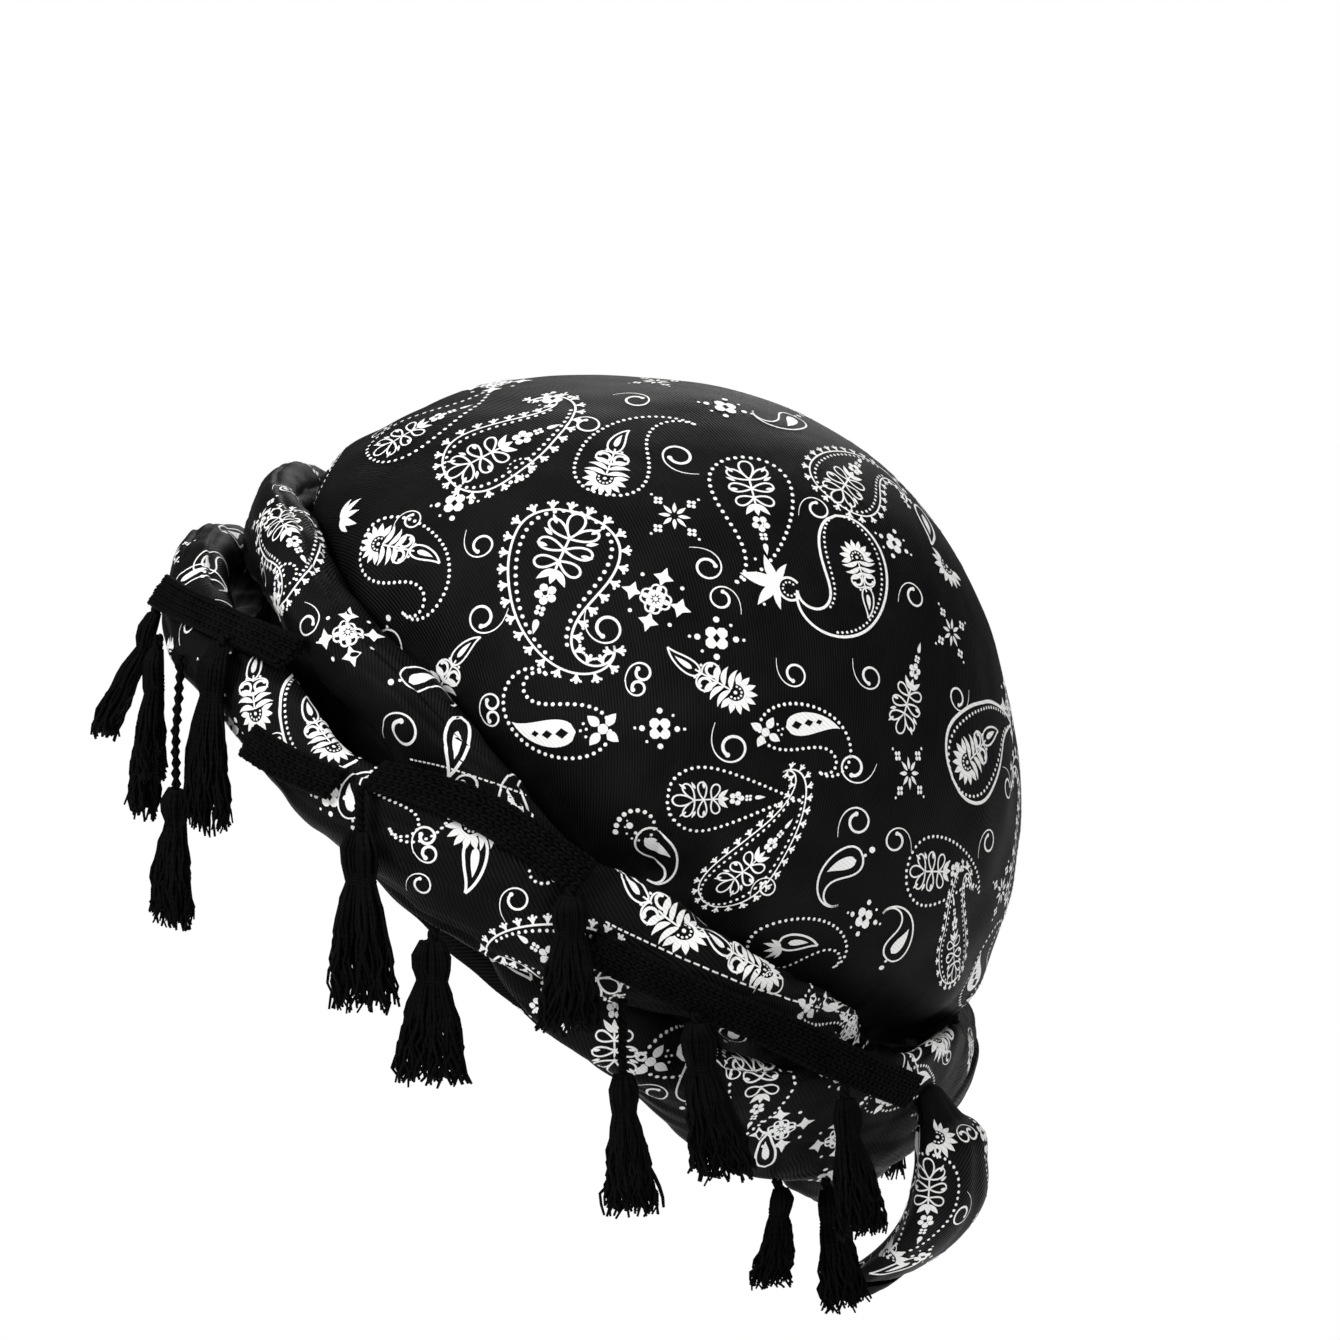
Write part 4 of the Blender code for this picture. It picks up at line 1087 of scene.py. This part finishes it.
strandPrint = dict(
    # strand, angle, place round the roll, turn clockwise, size (below 0 when mirrored)
    toothed=((0, 98, 304, -70, 0.85), (1, 28, 284, 81, -0.8)),
    feather=(
        (0, 82, 92, 75, 0.9), (0, 102, 28, -56, 1), (0, 114, 340, -68, 0.9), (1, 160, 84, 87, 0.9),
        (0, 45, 92, -56, 0.8), (1, 176, 350, 90, 0.7),
    ),
    leafLine=(
        (0, 82, 34, 172, 1), (1, 70, 262, 150, 1.1), (1, 150, 96, 40, 0.9), (1, 136, 344, -20, 0.9),
        (1, 101, 128, -34, 0.9),
    ),
    scroll=(
        (0, 88, 4, -40, 0.8), (0, 78, 352, -8, 0.7), (1, 26, 205, 0, 0.8), (1, 63, 222, -25, 1.1),
        (0, 30, 130, 30, 0.9), (1, 142, 120, 100, 0.9), (0, 110, 290, 60, 0.8), (0, 70, 300, 40, 0.8),
        (0, 108, 60, -20, 0.8), (1, 116, 60, 20, 0.8), (1, 127, 130, -70, 0.8), (0, 120, 300, 10, 0.8),
        (1, 13, 296, -86, 0.6), (0, 28, 72, -64, 0.8), (1, 44, 260, 60, 0.8), (0, 16, 40, 60, 0.8),
    ),
    twinScroll=(
        (0, 76, 24, -11, 1), (1, 75, 206, -30, 1), (1, 122, 110, 30, 0.8), (1, 158, 32, -13, 0.8), (0, 52, 60, 40, 0.8),
    ),
    dotCurl=((0, 91, 40, 124, 0.7), (1, 33, 256, -70, 0.7), (1, 142, 50, 10, 0.8)),
    crossSmall=((1, 99, 108, -35, 1.3), (1, 103, 108, -30, 1.3)),
    loopTree=((1, 109, 116, -22, 0.8), (1, 165, 292, -35, 0.9)),
    pod=(
        (0, 121, 204, -35, 0.9), (0, 18, 104, -24, 0.9), (0, -3, 156, -90, 1), (1, 10, 30, 60, 0.9),
        (1, 80, 236, -60, 1), (1, 60, 316, 20, 0.9), (0, 66, 60, -30, 0.8), (0, 16, 128, -93, 0.8),
        (1, 148, 40, -16, 0.9), (1, 119, 80, -10, 0.9),
    ),
    dottedLoops=((1, 127, 80, 176, 0.8), (0, 150, 200, 110, 0.8)),
    flowerFour=(
        (1, 136, 84, 5, 0.8), (1, 148, 300, -28, 0.8), (1, 37, 228, -25, 0.85), (0, 44, 16, 22, 0.85),
        (1, 14, 330, 10, 0.8), (0, 64, 52, -19, 0.8), (1, 160, 332, -18, 0.7), (0, 101, 324, -7, 0.7),
    ),
    ornament=((1, 134, 14, -18, 0.8), (1, 50, 288, -51, 0.9), (0, 140, 250, 20, 0.8), (1, 143, 352, -18, 0.7)),
    linedFeather=((0, 56, 132, -85, 0.85),),
    star=(
        (0, 38, 56, -43, 0.8), (1, 84, 60, 10, 0.8), (0, 160, 130, 0, 0.8), (0, 8, 60, 20, 0.8), (1, 20, 250, 10, 0.8),
    ),
    dottedFeather=((1, 90, 120, 70, 0.8), (0, 70, 130, 100, 0.7)),
    seeded=((1, 118, 140, 60, -0.85), (0, 132, 290, 70, 0.8), (1, 150, 30, 80, 0.8)),
    halfSun=((0, 26, 20, 70, 0.8),),
)


def strandRows(which):
    # the rows for one strand, and the other strand's rows mirrored for the hidden side
    rows, surface = [], strandSurfaces[which]
    for kind, places in strandPrint.items():
        for strand, angle, roll, turn, size in places:
            if strand != which:
                angle, roll, turn, size = -angle - 6, 360 - roll, -turn, -size
            high = abs(size)
            rows.append((kind, turn, (size, high), (surface, math.radians(angle), math.radians(roll))))
    return rows


def hemRows():
    # a motif every nine degrees, in turn on the hem's inner face and along its foot
    kinds = ("flowerFour", "pod", "scroll", "star", "leafLine", "twinScroll", "halfSun")
    rolls = (50, 340)                                 # places round the section
    return [
        (kinds[k % len(kinds)], 55 * k, (0.62, 0.62), (hemSurface, math.radians(9 * k), math.radians(rolls[k % 2])))
        for k in range(40)
    ]


printCloth("hemPrint", hemSurface, hemRows(), strandPlace)
inks = [printCloth("capPrint", capSurface, capRows(), capPlace)]
inks += [printCloth("strandPrint" + side, strandSurfaces[k], strandRows(k), strandPlace) for k, side in enumerate("AB")]
print("print laid,", sum(len(piece.data.polygons) for piece in inks), "faces")


# Tubes of yarn
def tubes(paths, radius, sides, reference):
    # rings round many paths at once: each ring lies across its path, started from a reference direction
    along = unit(np.gradient(paths, axis=1))
    first = unit(np.cross(along, np.broadcast_to(reference, along.shape)))
    second = np.cross(along, first)
    turn = fullTurn(sides)[:, None]
    radius = np.broadcast_to(radius, paths.shape[:2])[..., None, None]
    return paths[:, :, None] + radius * (first[:, :, None] * np.cos(turn) + second[:, :, None] * np.sin(turn))


def tubePiece(name, batches):
    # joined tubes with closed ends; u runs along each tube in metres and v once round it
    points, quads, ends, flats, endFlats, at = [], [], [], [], [], 0
    for rings in batches:
        count, levels, sides, _ = rings.shape
        starts = at + np.arange(count)[:, None, None] * levels * sides
        cells, flatCells = gridCorners(levels, sides, wrapColumns=True)
        quads.append((cells[:, ::-1] + starts).reshape(-1, 4))
        run = wayAlong(rings.mean(2))[:, :, None]
        flat = np.stack(np.broadcast_arrays(run, np.linspace(0, 1, sides + 1)), -1).reshape(count, -1, 2)
        flats.append(flat[:, flatCells[:, ::-1]].reshape(-1, 2))
        lid = np.arange(1, sides - 1)
        first = np.stack([np.zeros_like(lid), lid, lid + 1], 1) + starts
        ends += [first[:, :, ::-1].reshape(-1, 3), (first + (levels - 1) * sides).reshape(-1, 3)]
        endFlats.append(np.zeros((2 * count * len(lid) * 3, 2)))
        points.append(rings.reshape(-1, 3))
        at += rings.size // 3
    faces = [np.concatenate(quads), np.concatenate(ends)]
    flat = np.concatenate(flats + endFlats)
    return addPiece(name, np.concatenate(points), faces, [materials["blackYarn"]], flat)


# Crocheted braid along the strands
braid = dict(
    width=0.0100, columns=5, rowStep=0.0021, yarn=0.00062, lift=0.0004, lookFrom=0.05,
    steps=60, lanes=9,                                # of the grid that is laid on a strip's outer face
    stitch=dict(start=0.15, length=1.25, stagger=0.25, leanFrom=0.42, leanTo=0.06, jitter=0.03),
    edge=dict(step=0.0028, sink=0.0003, sway=0.0006, lanes=(0.1, 7.9), thin=0.8),
    backing=dict(count=9, steps=50, sink=0.0009, yarn=0.00068),
    seam=dict(above=0.0018, wide=0.0005, steps=240, repeat=6, shown=4, longest=0.002),
    strips=dict(
        # strip: angle, height as a share of the band's half height
        braid_front=((17.0, -0.62), (26.0, -0.42), (36.0, -0.12), (47.0, 0.22)),
        braid_front_low=((50.0, -0.78), (57.0, -0.62), (64.0, -0.36)),
        braid_side=((66.0, -0.02), (72.0, 0.28), (79.0, 0.52), (86.0, 0.64), (93.0, 0.70)),
        braid_back=((97.0, 0.16), (104.0, 0.28), (114.0, 0.44), (126.0, 0.56), (139.0, 0.60), (150.0, 0.58)),
        braid_right=((-38.0, 0.50), (-50.0, 0.30), (-62.0, 0.00), (-74.0, -0.24), (-84.0, -0.36)),
        braid_right_back=((-98.0, 0.46), (-112.0, 0.50), (-127.0, 0.36), (-142.0, 0.10), (-152.0, -0.10)),
    ),
)


def treeOf(node):
    # a solid's faces, to be met by rays
    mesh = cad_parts[node].data
    return BVHTree.FromPolygons([v.co for v in mesh.vertices], [p.vertices for p in mesh.polygons])


def stripFace(node, rows):
    # a grid of places on the outer face of a solid strip, found by looking in at it from outside
    tree = treeOf(node)
    middle = alongTable(rows, np.linspace(0.01, 0.99, braid["steps"]))
    angle = np.radians(middle[:, 0])[:, None]
    across = np.linspace(-0.48, 0.48, braid["lanes"])[None, :] * braid["width"]
    height = middle[:, 1:] * around(band["halfHeight"], angle) + across
    outside = hatPoint(angle, braid["lookFrom"], height)
    inside = hatPoint(angle, 0.0, height)
    found = np.empty_like(outside)
    for index in np.ndindex(outside.shape[:2]):
        start, end = Vector(outside[index]), Vector(inside[index])
        hit = tree.ray_cast(start, (end - start).normalized())[0]
        found[index] = hit if hit is not None else (np.nan, np.nan, np.nan)
    for j in range(found.shape[1]):
        good = ~np.isnan(found[:, j, 0])
        for k in range(3):
            found[:, j, k] = np.interp(np.arange(len(found)), np.where(good)[0], found[good, j, k])
    return found


def raised(surface, row, column, lift):
    # places on a strip lifted along its normals, and those normals
    row, column, lift = np.broadcast_arrays(row, column, lift)
    row = np.clip(row, 0, len(surface["outer"]) - 1.001)
    base = onGrid(surface, row, column, 0.0)
    normal = unit(onGrid(surface, row, column, 1.0) - base)
    return base + lift[..., None] * normal, normal


def makeBraid(node, rows):
    # chain stitches in columns: each leans from its column's edge to its middle, left and right in turn
    face = stripFace(node, rows)
    normals = gridNormals(face)
    normals *= np.sign(np.einsum("ijk,ijk->ij", normals, face).mean())
    surface = dict(outer=face, normals=normals, closedSection=False)
    run = wayAlong(face[:, braid["lanes"] // 2])
    count, columns, stitch = int(run[-1] / braid["rowStep"]), braid["columns"], braid["stitch"]
    steps, t = np.arange(count)[:, None], np.linspace(0, 1, 5)[None, :]
    lift = braid["lift"] * (1.1 * np.sin(math.pi * t) - 0.6)
    swell = braid["yarn"] * (0.55 + 0.45 * np.sin(math.pi * np.clip(t, 0.05, 0.95)))
    batches = []
    for column in range(columns):
        place = steps + stitch["start"] + stitch["length"] * t + stitch["stagger"] * (column % 2)
        row = np.interp(place * braid["rowStep"], run, np.arange(len(run)))
        for side in (-1, 1):
            lean = side * (stitch["leanFrom"] * (1 - t) + stitch["leanTo"] * t)
            jitter = random.normal(0, stitch["jitter"], (count, 1))
            across = (column + 0.5 + lean + jitter) / columns * (braid["lanes"] - 1)
            path, normal = raised(surface, row, across, lift)
            batches.append(tubes(path, swell, 5, normal))
    piece = tubePiece(node.replace("_", "-") + "-crochet", batches + edgeLoops(surface, run) + backingStrip(surface))
    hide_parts(node)
    return piece


def edgeLoops(surface, run):
    # a yarn along both edges that goes in and down by one plus a cosine, once for each scallop
    edge, found = braid["edge"], []
    count = int(run[-1] / edge["step"])
    t = np.linspace(0, count, count * 6)[None, :]
    wave = 1 + np.cos(2 * math.pi * t)
    row = np.interp(t * edge["step"], run, np.arange(len(run)))
    for lane in edge["lanes"]:
        base, normal = raised(surface, row, lane, -edge["sink"] * wave)
        inward = unit(raised(surface, row, braid["lanes"] // 2, 0.0)[0] - base)
        path = base + edge["sway"] * wave[..., None] * inward
        found.append(tubes(path, braid["yarn"] * edge["thin"], 5, normal))
    return found


def backingStrip(surface):
    # lengthwise yarns laid close together under the stitches, so that no cloth shows between them
    backing = braid["backing"]
    row = np.linspace(0, len(surface["outer"]) - 1.01, backing["steps"])[None, :]
    column = np.linspace(0.3, braid["lanes"] - 1.3, backing["count"])[:, None]
    path, normal = raised(surface, row, column, -backing["sink"])
    return [tubes(path, backing["yarn"], 6, normal)]


def stitchedEdge(node, rows, trees):
    # short white stitches on the cloth just above a strip, found by looking in from outside
    seam = braid["seam"]
    middle = alongTable(rows, np.linspace(0.02, 0.98, seam["steps"]))
    angle = np.radians(middle[:, 0])
    height = middle[:, 1] * around(band["halfHeight"], angle) + braid["width"] / 2 + seam["above"]
    outside, inside = hatPoint(angle, braid["lookFrom"], height), hatPoint(angle, 0.0, height)
    found, normals = np.full_like(outside, np.nan), np.full_like(outside, np.nan)
    for index in range(len(outside)):
        start, ray = Vector(outside[index]), Vector(inside[index] - outside[index]).normalized()
        hits = [hit for hit in (tree.ray_cast(start, ray) for tree in trees) if hit[0] is not None]
        if hits:
            found[index], normals[index] = min(hits, key=lambda hit: hit[3])[:2]
    whole = ~np.isnan(found[:, 0])
    found, normals = found[whole], normals[whole]
    along = np.gradient(found, axis=0)
    side = unit(np.cross(normals, along)) * seam["wide"] / 2
    base = found + inkLayer["lift"] * normals
    points = np.stack([base + side, base - side], 1).reshape(-1, 3)
    short = np.linalg.norm(along, axis=1) < seam["longest"]
    at = np.arange(len(found) - 1)
    at = at[(at % seam["repeat"] < seam["shown"]) & short[:-1] & short[1:]]
    faces = facingOut(points, np.stack([2 * at, 2 * at + 1, 2 * at + 3, 2 * at + 2], 1), normals[at])
    name = node.replace("_", "-") + "-stitching"
    addPiece(name, points, [faces], [materials["whiteInk"]], points[faces][..., 1:])


def treeOfGrid(surface):
    # a strand's faces, to be met by rays
    faces, _ = gridCorners(*surface["outer"].shape[:2], wrapRows=True, wrapColumns=True)
    return BVHTree.FromPolygons(surface["outer"].reshape(-1, 3).tolist(), faces.tolist())


strandTrees = [treeOfGrid(surface) for surface in strandSurfaces]
for strip in ("braid_side", "braid_back"):
    stitchedEdge(strip, braid["strips"][strip], strandTrees)
braidPieces = [makeBraid(node, rows) for node, rows in braid["strips"].items()]
print("braid crocheted,", sum(len(piece.data.polygons) for piece in braidPieces), "faces")


# Tassels
tassel = dict(
    threads=112, steps=13, yarn=0.00052, windings=5, windingYarn=0.00055, uneven=0.035,
    stray=0.06, strayFar=0.0022, waves=(0.0011, 0.0006, 0.0008), cordYarn=0.0008, cordPitch=0.006,
    neckFromFoot=3, headFromFoot=6,                   # how many of the solid's rings up from its last one
    higher=dict(tassel_front_d=0.0065),               # a cord that starts inside the strand
)


def ringsOf(node):
    # the level rings of a hanging solid, from the top down: each one's middle and its points
    points = np.array([v.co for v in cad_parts[node].data.vertices])
    rings = []
    for level in np.unique(np.round(points[:, 2], 5))[::-1]:
        ring = np.unique(np.round(points[np.abs(points[:, 2] - level) < 2e-5], 6), axis=0)
        if len(ring) >= 6:
            rings.append((ring.mean(0), ring))
    return rings


def longWay(ring):
    # the level direction in which a ring's points spread most
    beside = np.linalg.svd((ring[1] - ring[0])[:, :2])[2][0]
    return np.array([beside[0], beside[1], 0.0])


def spanOf(rings, direction):
    # each ring's half size in one direction
    return np.array([np.abs((ring - middle) @ direction).max() for middle, ring in rings])


def makeTassel(node):
    # threads that keep their place in every ring's ellipse, wavy below the neck, with uneven feet
    rings = ringsOf(node)
    middles = np.array([middle for middle, _ in rings])
    beside = longWay(rings[-1])
    out = np.array([-beside[1], beside[0], 0.0])
    wide, thick = spanOf(rings, beside), spanOf(rings, out)
    fall = middles[0, 2] - middles[:, 2]
    total = fall[-1]
    neck = len(rings) - 1 - tassel["neckFromFoot"]
    start = fall[len(rings) - 1 - tassel["headFromFoot"]]
    count, share = tassel["threads"], np.linspace(0, 1, tassel["steps"])

    def middleAt(down):
        # the solid's middle line at a distance below its top
        place = np.stack([np.interp(down, fall, middles[:, k]) for k in range(3)], -1)
        place[..., 2] = middles[0, 2] - down
        return place

    def beyond(across, outwards):
        return np.asarray(across)[..., None] * beside + np.asarray(outwards)[..., None] * out
    ends = total * (1 + random.normal(0, tassel["uneven"], count)) - start
    ends = np.clip(ends, 0.75 * (total - start), 1.04 * (total - start) + 0.001)
    down = start + ends[:, None] * share[None, :] ** 0.9
    spot = np.sqrt(random.uniform(0.25, 1, count))
    bearings = random.uniform(0, 2 * math.pi, count)
    x = (spot * np.cos(bearings))[:, None] * np.interp(down, fall, wide)
    y = (spot * np.sin(bearings))[:, None] * np.interp(down, fall, thick)
    free = np.clip((down - fall[neck]) / (total - fall[neck]), 0, 1.1)
    phases = random.uniform(0, 2 * math.pi, (4, count))[:, :, None]
    times = random.uniform(1.0, 3.2, (2, count))[:, :, None]
    slow, quick, side = tassel["waves"]
    wave = slow * np.sin(2 * math.pi * times[0] * free + phases[0]) + quick * np.sin(6 * math.pi * free + phases[1])
    sway = side * np.sin(2 * math.pi * times[1] * free + phases[2])
    strays = (random.uniform(0, 1, count) < tassel["stray"])[:, None]
    strays = strays * free**2 * random.normal(0, tassel["strayFar"], (count, 1))
    paths = middleAt(down) + beyond(x + free * wave + strays, y + free * sway)
    radius = tassel["yarn"] * (1 - 0.35 * share[None, :] ** 6) * random.uniform(0.8, 1.15, (count, 1))
    batches = [tubes(paths, radius, 4, out)]
    coil = np.linspace(0, 2 * math.pi * tassel["windings"], 16 * tassel["windings"])
    winding = middles[neck] + beyond(wide[neck] * 1.02 * np.cos(coil), thick[neck] * 1.05 * np.sin(coil))
    winding[:, 2] += np.linspace(1, -1, len(coil)) * tassel["windings"] * tassel["windingYarn"] * 0.85
    batches.append(tubes(winding[None], tassel["windingYarn"], 6, np.array([0, 0, 1.0])))
    cord, thin = np.linspace(-tassel["higher"].get(node, 0.0), start + 0.0015, 14), tassel["cordYarn"]
    for phase in range(3):
        turn = 2 * math.pi * (cord / tassel["cordPitch"] + phase / 3)
        path = middleAt(cord) + beyond(thin * np.cos(turn), thin * np.sin(turn))
        batches.append(tubes(path[None], thin * 0.95, 6, np.array([0.3, 0.2, 1.0])))
    piece = tubePiece(node.replace("_", "-") + "-threads", batches)
    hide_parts(node)
    return piece


tasselPieces = [makeTassel(node) for node in sorted(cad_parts) if node.startswith("tassel")]
print("tassels tied,", sum(len(piece.data.polygons) for piece in tasselPieces), "faces")


# The scarf end at the nape
tail = dict(
    rings=90, section=96, sleeveRings=20, fuller=0.0024, tuck=(0.0, -0.004, 0.010), flatRound=0.062, fill=0.3,
    folds=(
        # phase, times round, depth as a share
        (0.6, 3, 0.07), (2.0, 5, 0.05), (4.1, 8, 0.03), (1.3, 13, 0.015),
    ),
    print=dict(
        # share of the way down, degrees round from the left, turn clockwise, size
        dottedLoops=((0.5, -4, 84, 0.78),),
        flowerFour=((0.8, 34, 0, 0.65), (0.3, 110, 20, 0.7)),
        scroll=((0.58, 56, 40, 0.8), (0.86, 96, 70, 0.8), (0.88, 180, 10, 0.7), (0.9, -60, 10, 0.7)),
        halfSun=((0.24, 10, 200, 0.8), (0.8, -24, 60, 0.8)),
        leafLine=((0.86, 14, 120, 0.9),),
        twinScroll=((0.22, 60, 10, 0.8),),
        pod=((0.3, -60, 70, 0.9),),
        star=((0.6, -78, 20, 0.7),),
        seeded=((0.5, 150, 60, 0.8),),
        feather=((0.66, 215, 80, 0.8),),
    ),
)


def rollTable(node, beside=None):
    # a hanging solid's level rings as rows of middle, half width and half thickness, and its two directions
    rings = ringsOf(node)
    beside = longWay(rings[6]) if beside is None else beside
    out = np.array([-beside[1], beside[0], 0.0])
    out *= np.sign(out[1])
    middles = np.array([middle for middle, _ in rings])
    return np.column_stack([middles, spanOf(rings, beside), spanOf(rings, out)]), beside, out


def rollShell(name, table, beside, out, grow, finish):
    # the rows smoothed, fuller towards the front by grow, less lengthwise folds, and closed by lids
    rings, columns = len(grow), tail["section"]
    fine = alongTable(table, np.linspace(0, 1, rings))
    turn, way = fullTurn(columns)[None, :], np.linspace(0, 1, rings)[:, None]
    fine[:, 4] += grow
    fine[:, :3] -= grow[:, None] * out
    size = np.full((rings, columns), 0.99)
    for phase, times, depth in tail["folds"]:
        size = size - depth * (0.5 + 0.5 * np.cos(times * turn + phase + 2 * way))
    size = size * np.sqrt(np.clip(way / 0.04, 0.02, 1)) * np.sqrt(np.clip((1 - way) / 0.03, 0.1, 1))
    across, outwards = fine[:, 3:4] * size * np.cos(turn), fine[:, 4:5] * size * np.sin(turn)
    grid = fine[:, None, :3] + across[..., None] * beside + outwards[..., None] * out
    faces, flatFaces = gridCorners(rings, columns, wrapColumns=True)
    top = np.arange(columns)
    after, foot, tip = (top + 1) % columns, (rings - 1) * columns, np.full(columns, rings * columns)
    lids = np.concatenate([np.stack([top, after, tip], 1), np.stack([foot + after, foot + top, tip + 1], 1)])
    normals, half = gridNormals(grid, False, True), rings // 2
    if np.einsum("ij,ij->i", normals[half], grid[half] - grid[half].mean(0)).mean() < 0:
        faces, flatFaces, normals, lids = faces[:, ::-1], flatFaces[:, ::-1], -normals, lids[:, ::-1]
    down = np.linspace(0, abs(table[-1, 2] - table[0, 2]), rings + 1)[:, None]
    flat = np.stack(np.broadcast_arrays(down, np.linspace(0, tail["flatRound"], columns + 1)), -1).reshape(-1, 2)
    flat = np.concatenate([flat[flatFaces].reshape(-1, 2), np.zeros((lids.size, 2))])
    points = np.concatenate([grid.reshape(-1, 3), grid[:1].mean(1), grid[-1:].mean(1)])
    piece = addPiece(name, points, [faces, lids], [materials[finish]], flat)
    return piece, dict(outer=grid, normals=normals, section=wayRound(grid), closedSection=True, openEnds=True)


def makeTail():
    # the roll hangs from inside the twist: two rows above the solid's first one tuck it in there
    table, beside, out = rollTable("nape_tail")
    moved, shrunk = np.array([*tail["tuck"], 0.0, 0.0]), np.array([0.0, 0.0, 0.0, 0.6, 0.55])
    tucked = [(table[0] + way * moved) * (1 - way * shrunk) for way in (1.0, 0.5)]
    table = np.concatenate([tucked, table])
    grow = tail["fuller"] * smooth((np.linspace(0, 1, tail["rings"]) - 0.3) / 0.55)
    piece, surface = rollShell("napeTail", table, beside, out, grow, "blackCloth")
    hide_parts("nape_tail")
    table, beside, out = rollTable("tail_end", beside)
    grow = np.full(tail["sleeveRings"], tail["fuller"])
    sleeve, _ = rollShell("tailSleeve", table, beside, out, grow, "blackYarn")
    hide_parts("tail_end")
    return surface


def tailRows():
    # places down the scarf end as a share of its length, and round it from the side that faces left
    left = 360 * int(np.argmax(tailSurface["outer"][tail["rings"] // 2, :, 0])) / tail["section"]
    return [
        (kind, turn, (size, size), (tailSurface, math.radians(360 * down), math.radians(left + roll)))
        for kind, places in tail["print"].items() for down, roll, turn, size in places
    ]


tailSurface = makeTail()
printCloth("tailPrint", tailSurface, tailRows(), strandPlace)
print("scarf end made")


# Floor and light
stage = dict(
    floorDrop=0.24, floorRadius=4.0, floorCorners=96, white=(0.93, 0.93, 0.93), worldFill=0.16,
    lights=dict(
        # place, size, power
        keyLight=((1.3, -1.4, 1.5), 0.8, 46), fillLight=((1.5, 1.3, 0.7), 1.2, 13),
        topLight=((0.3, 0.0, 1.9), 1.4, 18), farLight=((-1.6, 0.2, 1.0), 1.2, 12),
    ),
)


def mixed(tree, share, first, second):
    # the first shader where the share is 0, the second where it is 1
    return joinNodes(tree, "ShaderNodeMixShader", {0: share, 1: first.outputs[0], 2: second.outputs[0]})


def makeStage():
    # a round floor that the camera sees as plain white and light sees as pale matt
    mesh = bpy.data.meshes.new("floor")
    turn, radius = fullTurn(stage["floorCorners"]), stage["floorRadius"]
    low = np.full(len(turn), cadLow.z - stage["floorDrop"])
    ring = np.stack([radius * np.cos(turn), radius * np.sin(turn), low], 1)
    mesh.from_pydata(ring.tolist(), [], [tuple(range(len(turn)))])
    floor = bpy.data.objects.new("floor", mesh)
    bpy.context.scene.collection.objects.link(floor)
    material = bpy.data.materials.new("paleFloor")
    material.use_nodes = True
    mesh.materials.append(material)
    tree = material.node_tree
    tree.nodes.clear()
    ray = tree.nodes.new("ShaderNodeLightPath")
    face = tree.nodes.new("ShaderNodeNewGeometry")
    paint = joinNodes(tree, "ShaderNodeBsdfDiffuse", {"Color": (*stage["white"], 1)})
    glow = joinNodes(tree, "ShaderNodeEmission", {"Color": (1, 1, 1, 1), "Strength": 1.0})
    clear = tree.nodes.new("ShaderNodeBsdfTransparent")
    seen = mixed(tree, ray.outputs["Is Camera Ray"], paint, glow)
    joinNodes(tree, "ShaderNodeOutputMaterial", {0: mixed(tree, face.outputs["Backfacing"], seen, clear).outputs[0]})


def makeWorld():
    # a white backdrop for the camera and a weaker fill for everything else
    world = bpy.data.worlds.new("studio")
    world.use_nodes = True
    tree = world.node_tree
    tree.nodes.clear()
    ray = tree.nodes.new("ShaderNodeLightPath")
    fill, backdrop = (
        joinNodes(tree, "ShaderNodeBackground", {"Color": (1, 1, 1, 1), "Strength": strength})
        for strength in (stage["worldFill"], 1.0)
    )
    both = mixed(tree, ray.outputs["Is Camera Ray"], fill, backdrop)
    joinNodes(tree, "ShaderNodeOutputWorld", {0: both.outputs[0]})
    bpy.context.scene.world = world


def makeLight(name, place, size, power):
    # a round lamp that faces the hat's origin
    data = bpy.data.lights.new(name, "AREA")
    data.shape, data.size, data.energy = "DISK", size, power
    light = bpy.data.objects.new(name, data)
    light.location = Vector(place)
    light.rotation_euler = (-light.location).to_track_quat("-Z", "Y").to_euler()
    bpy.context.scene.collection.objects.link(light)


makeStage()
makeWorld()
for name, (place, size, power) in stage["lights"].items():
    makeLight(name, place, size, power)
bpy.context.scene.view_settings.view_transform = "Standard"
print("stage and lights set")
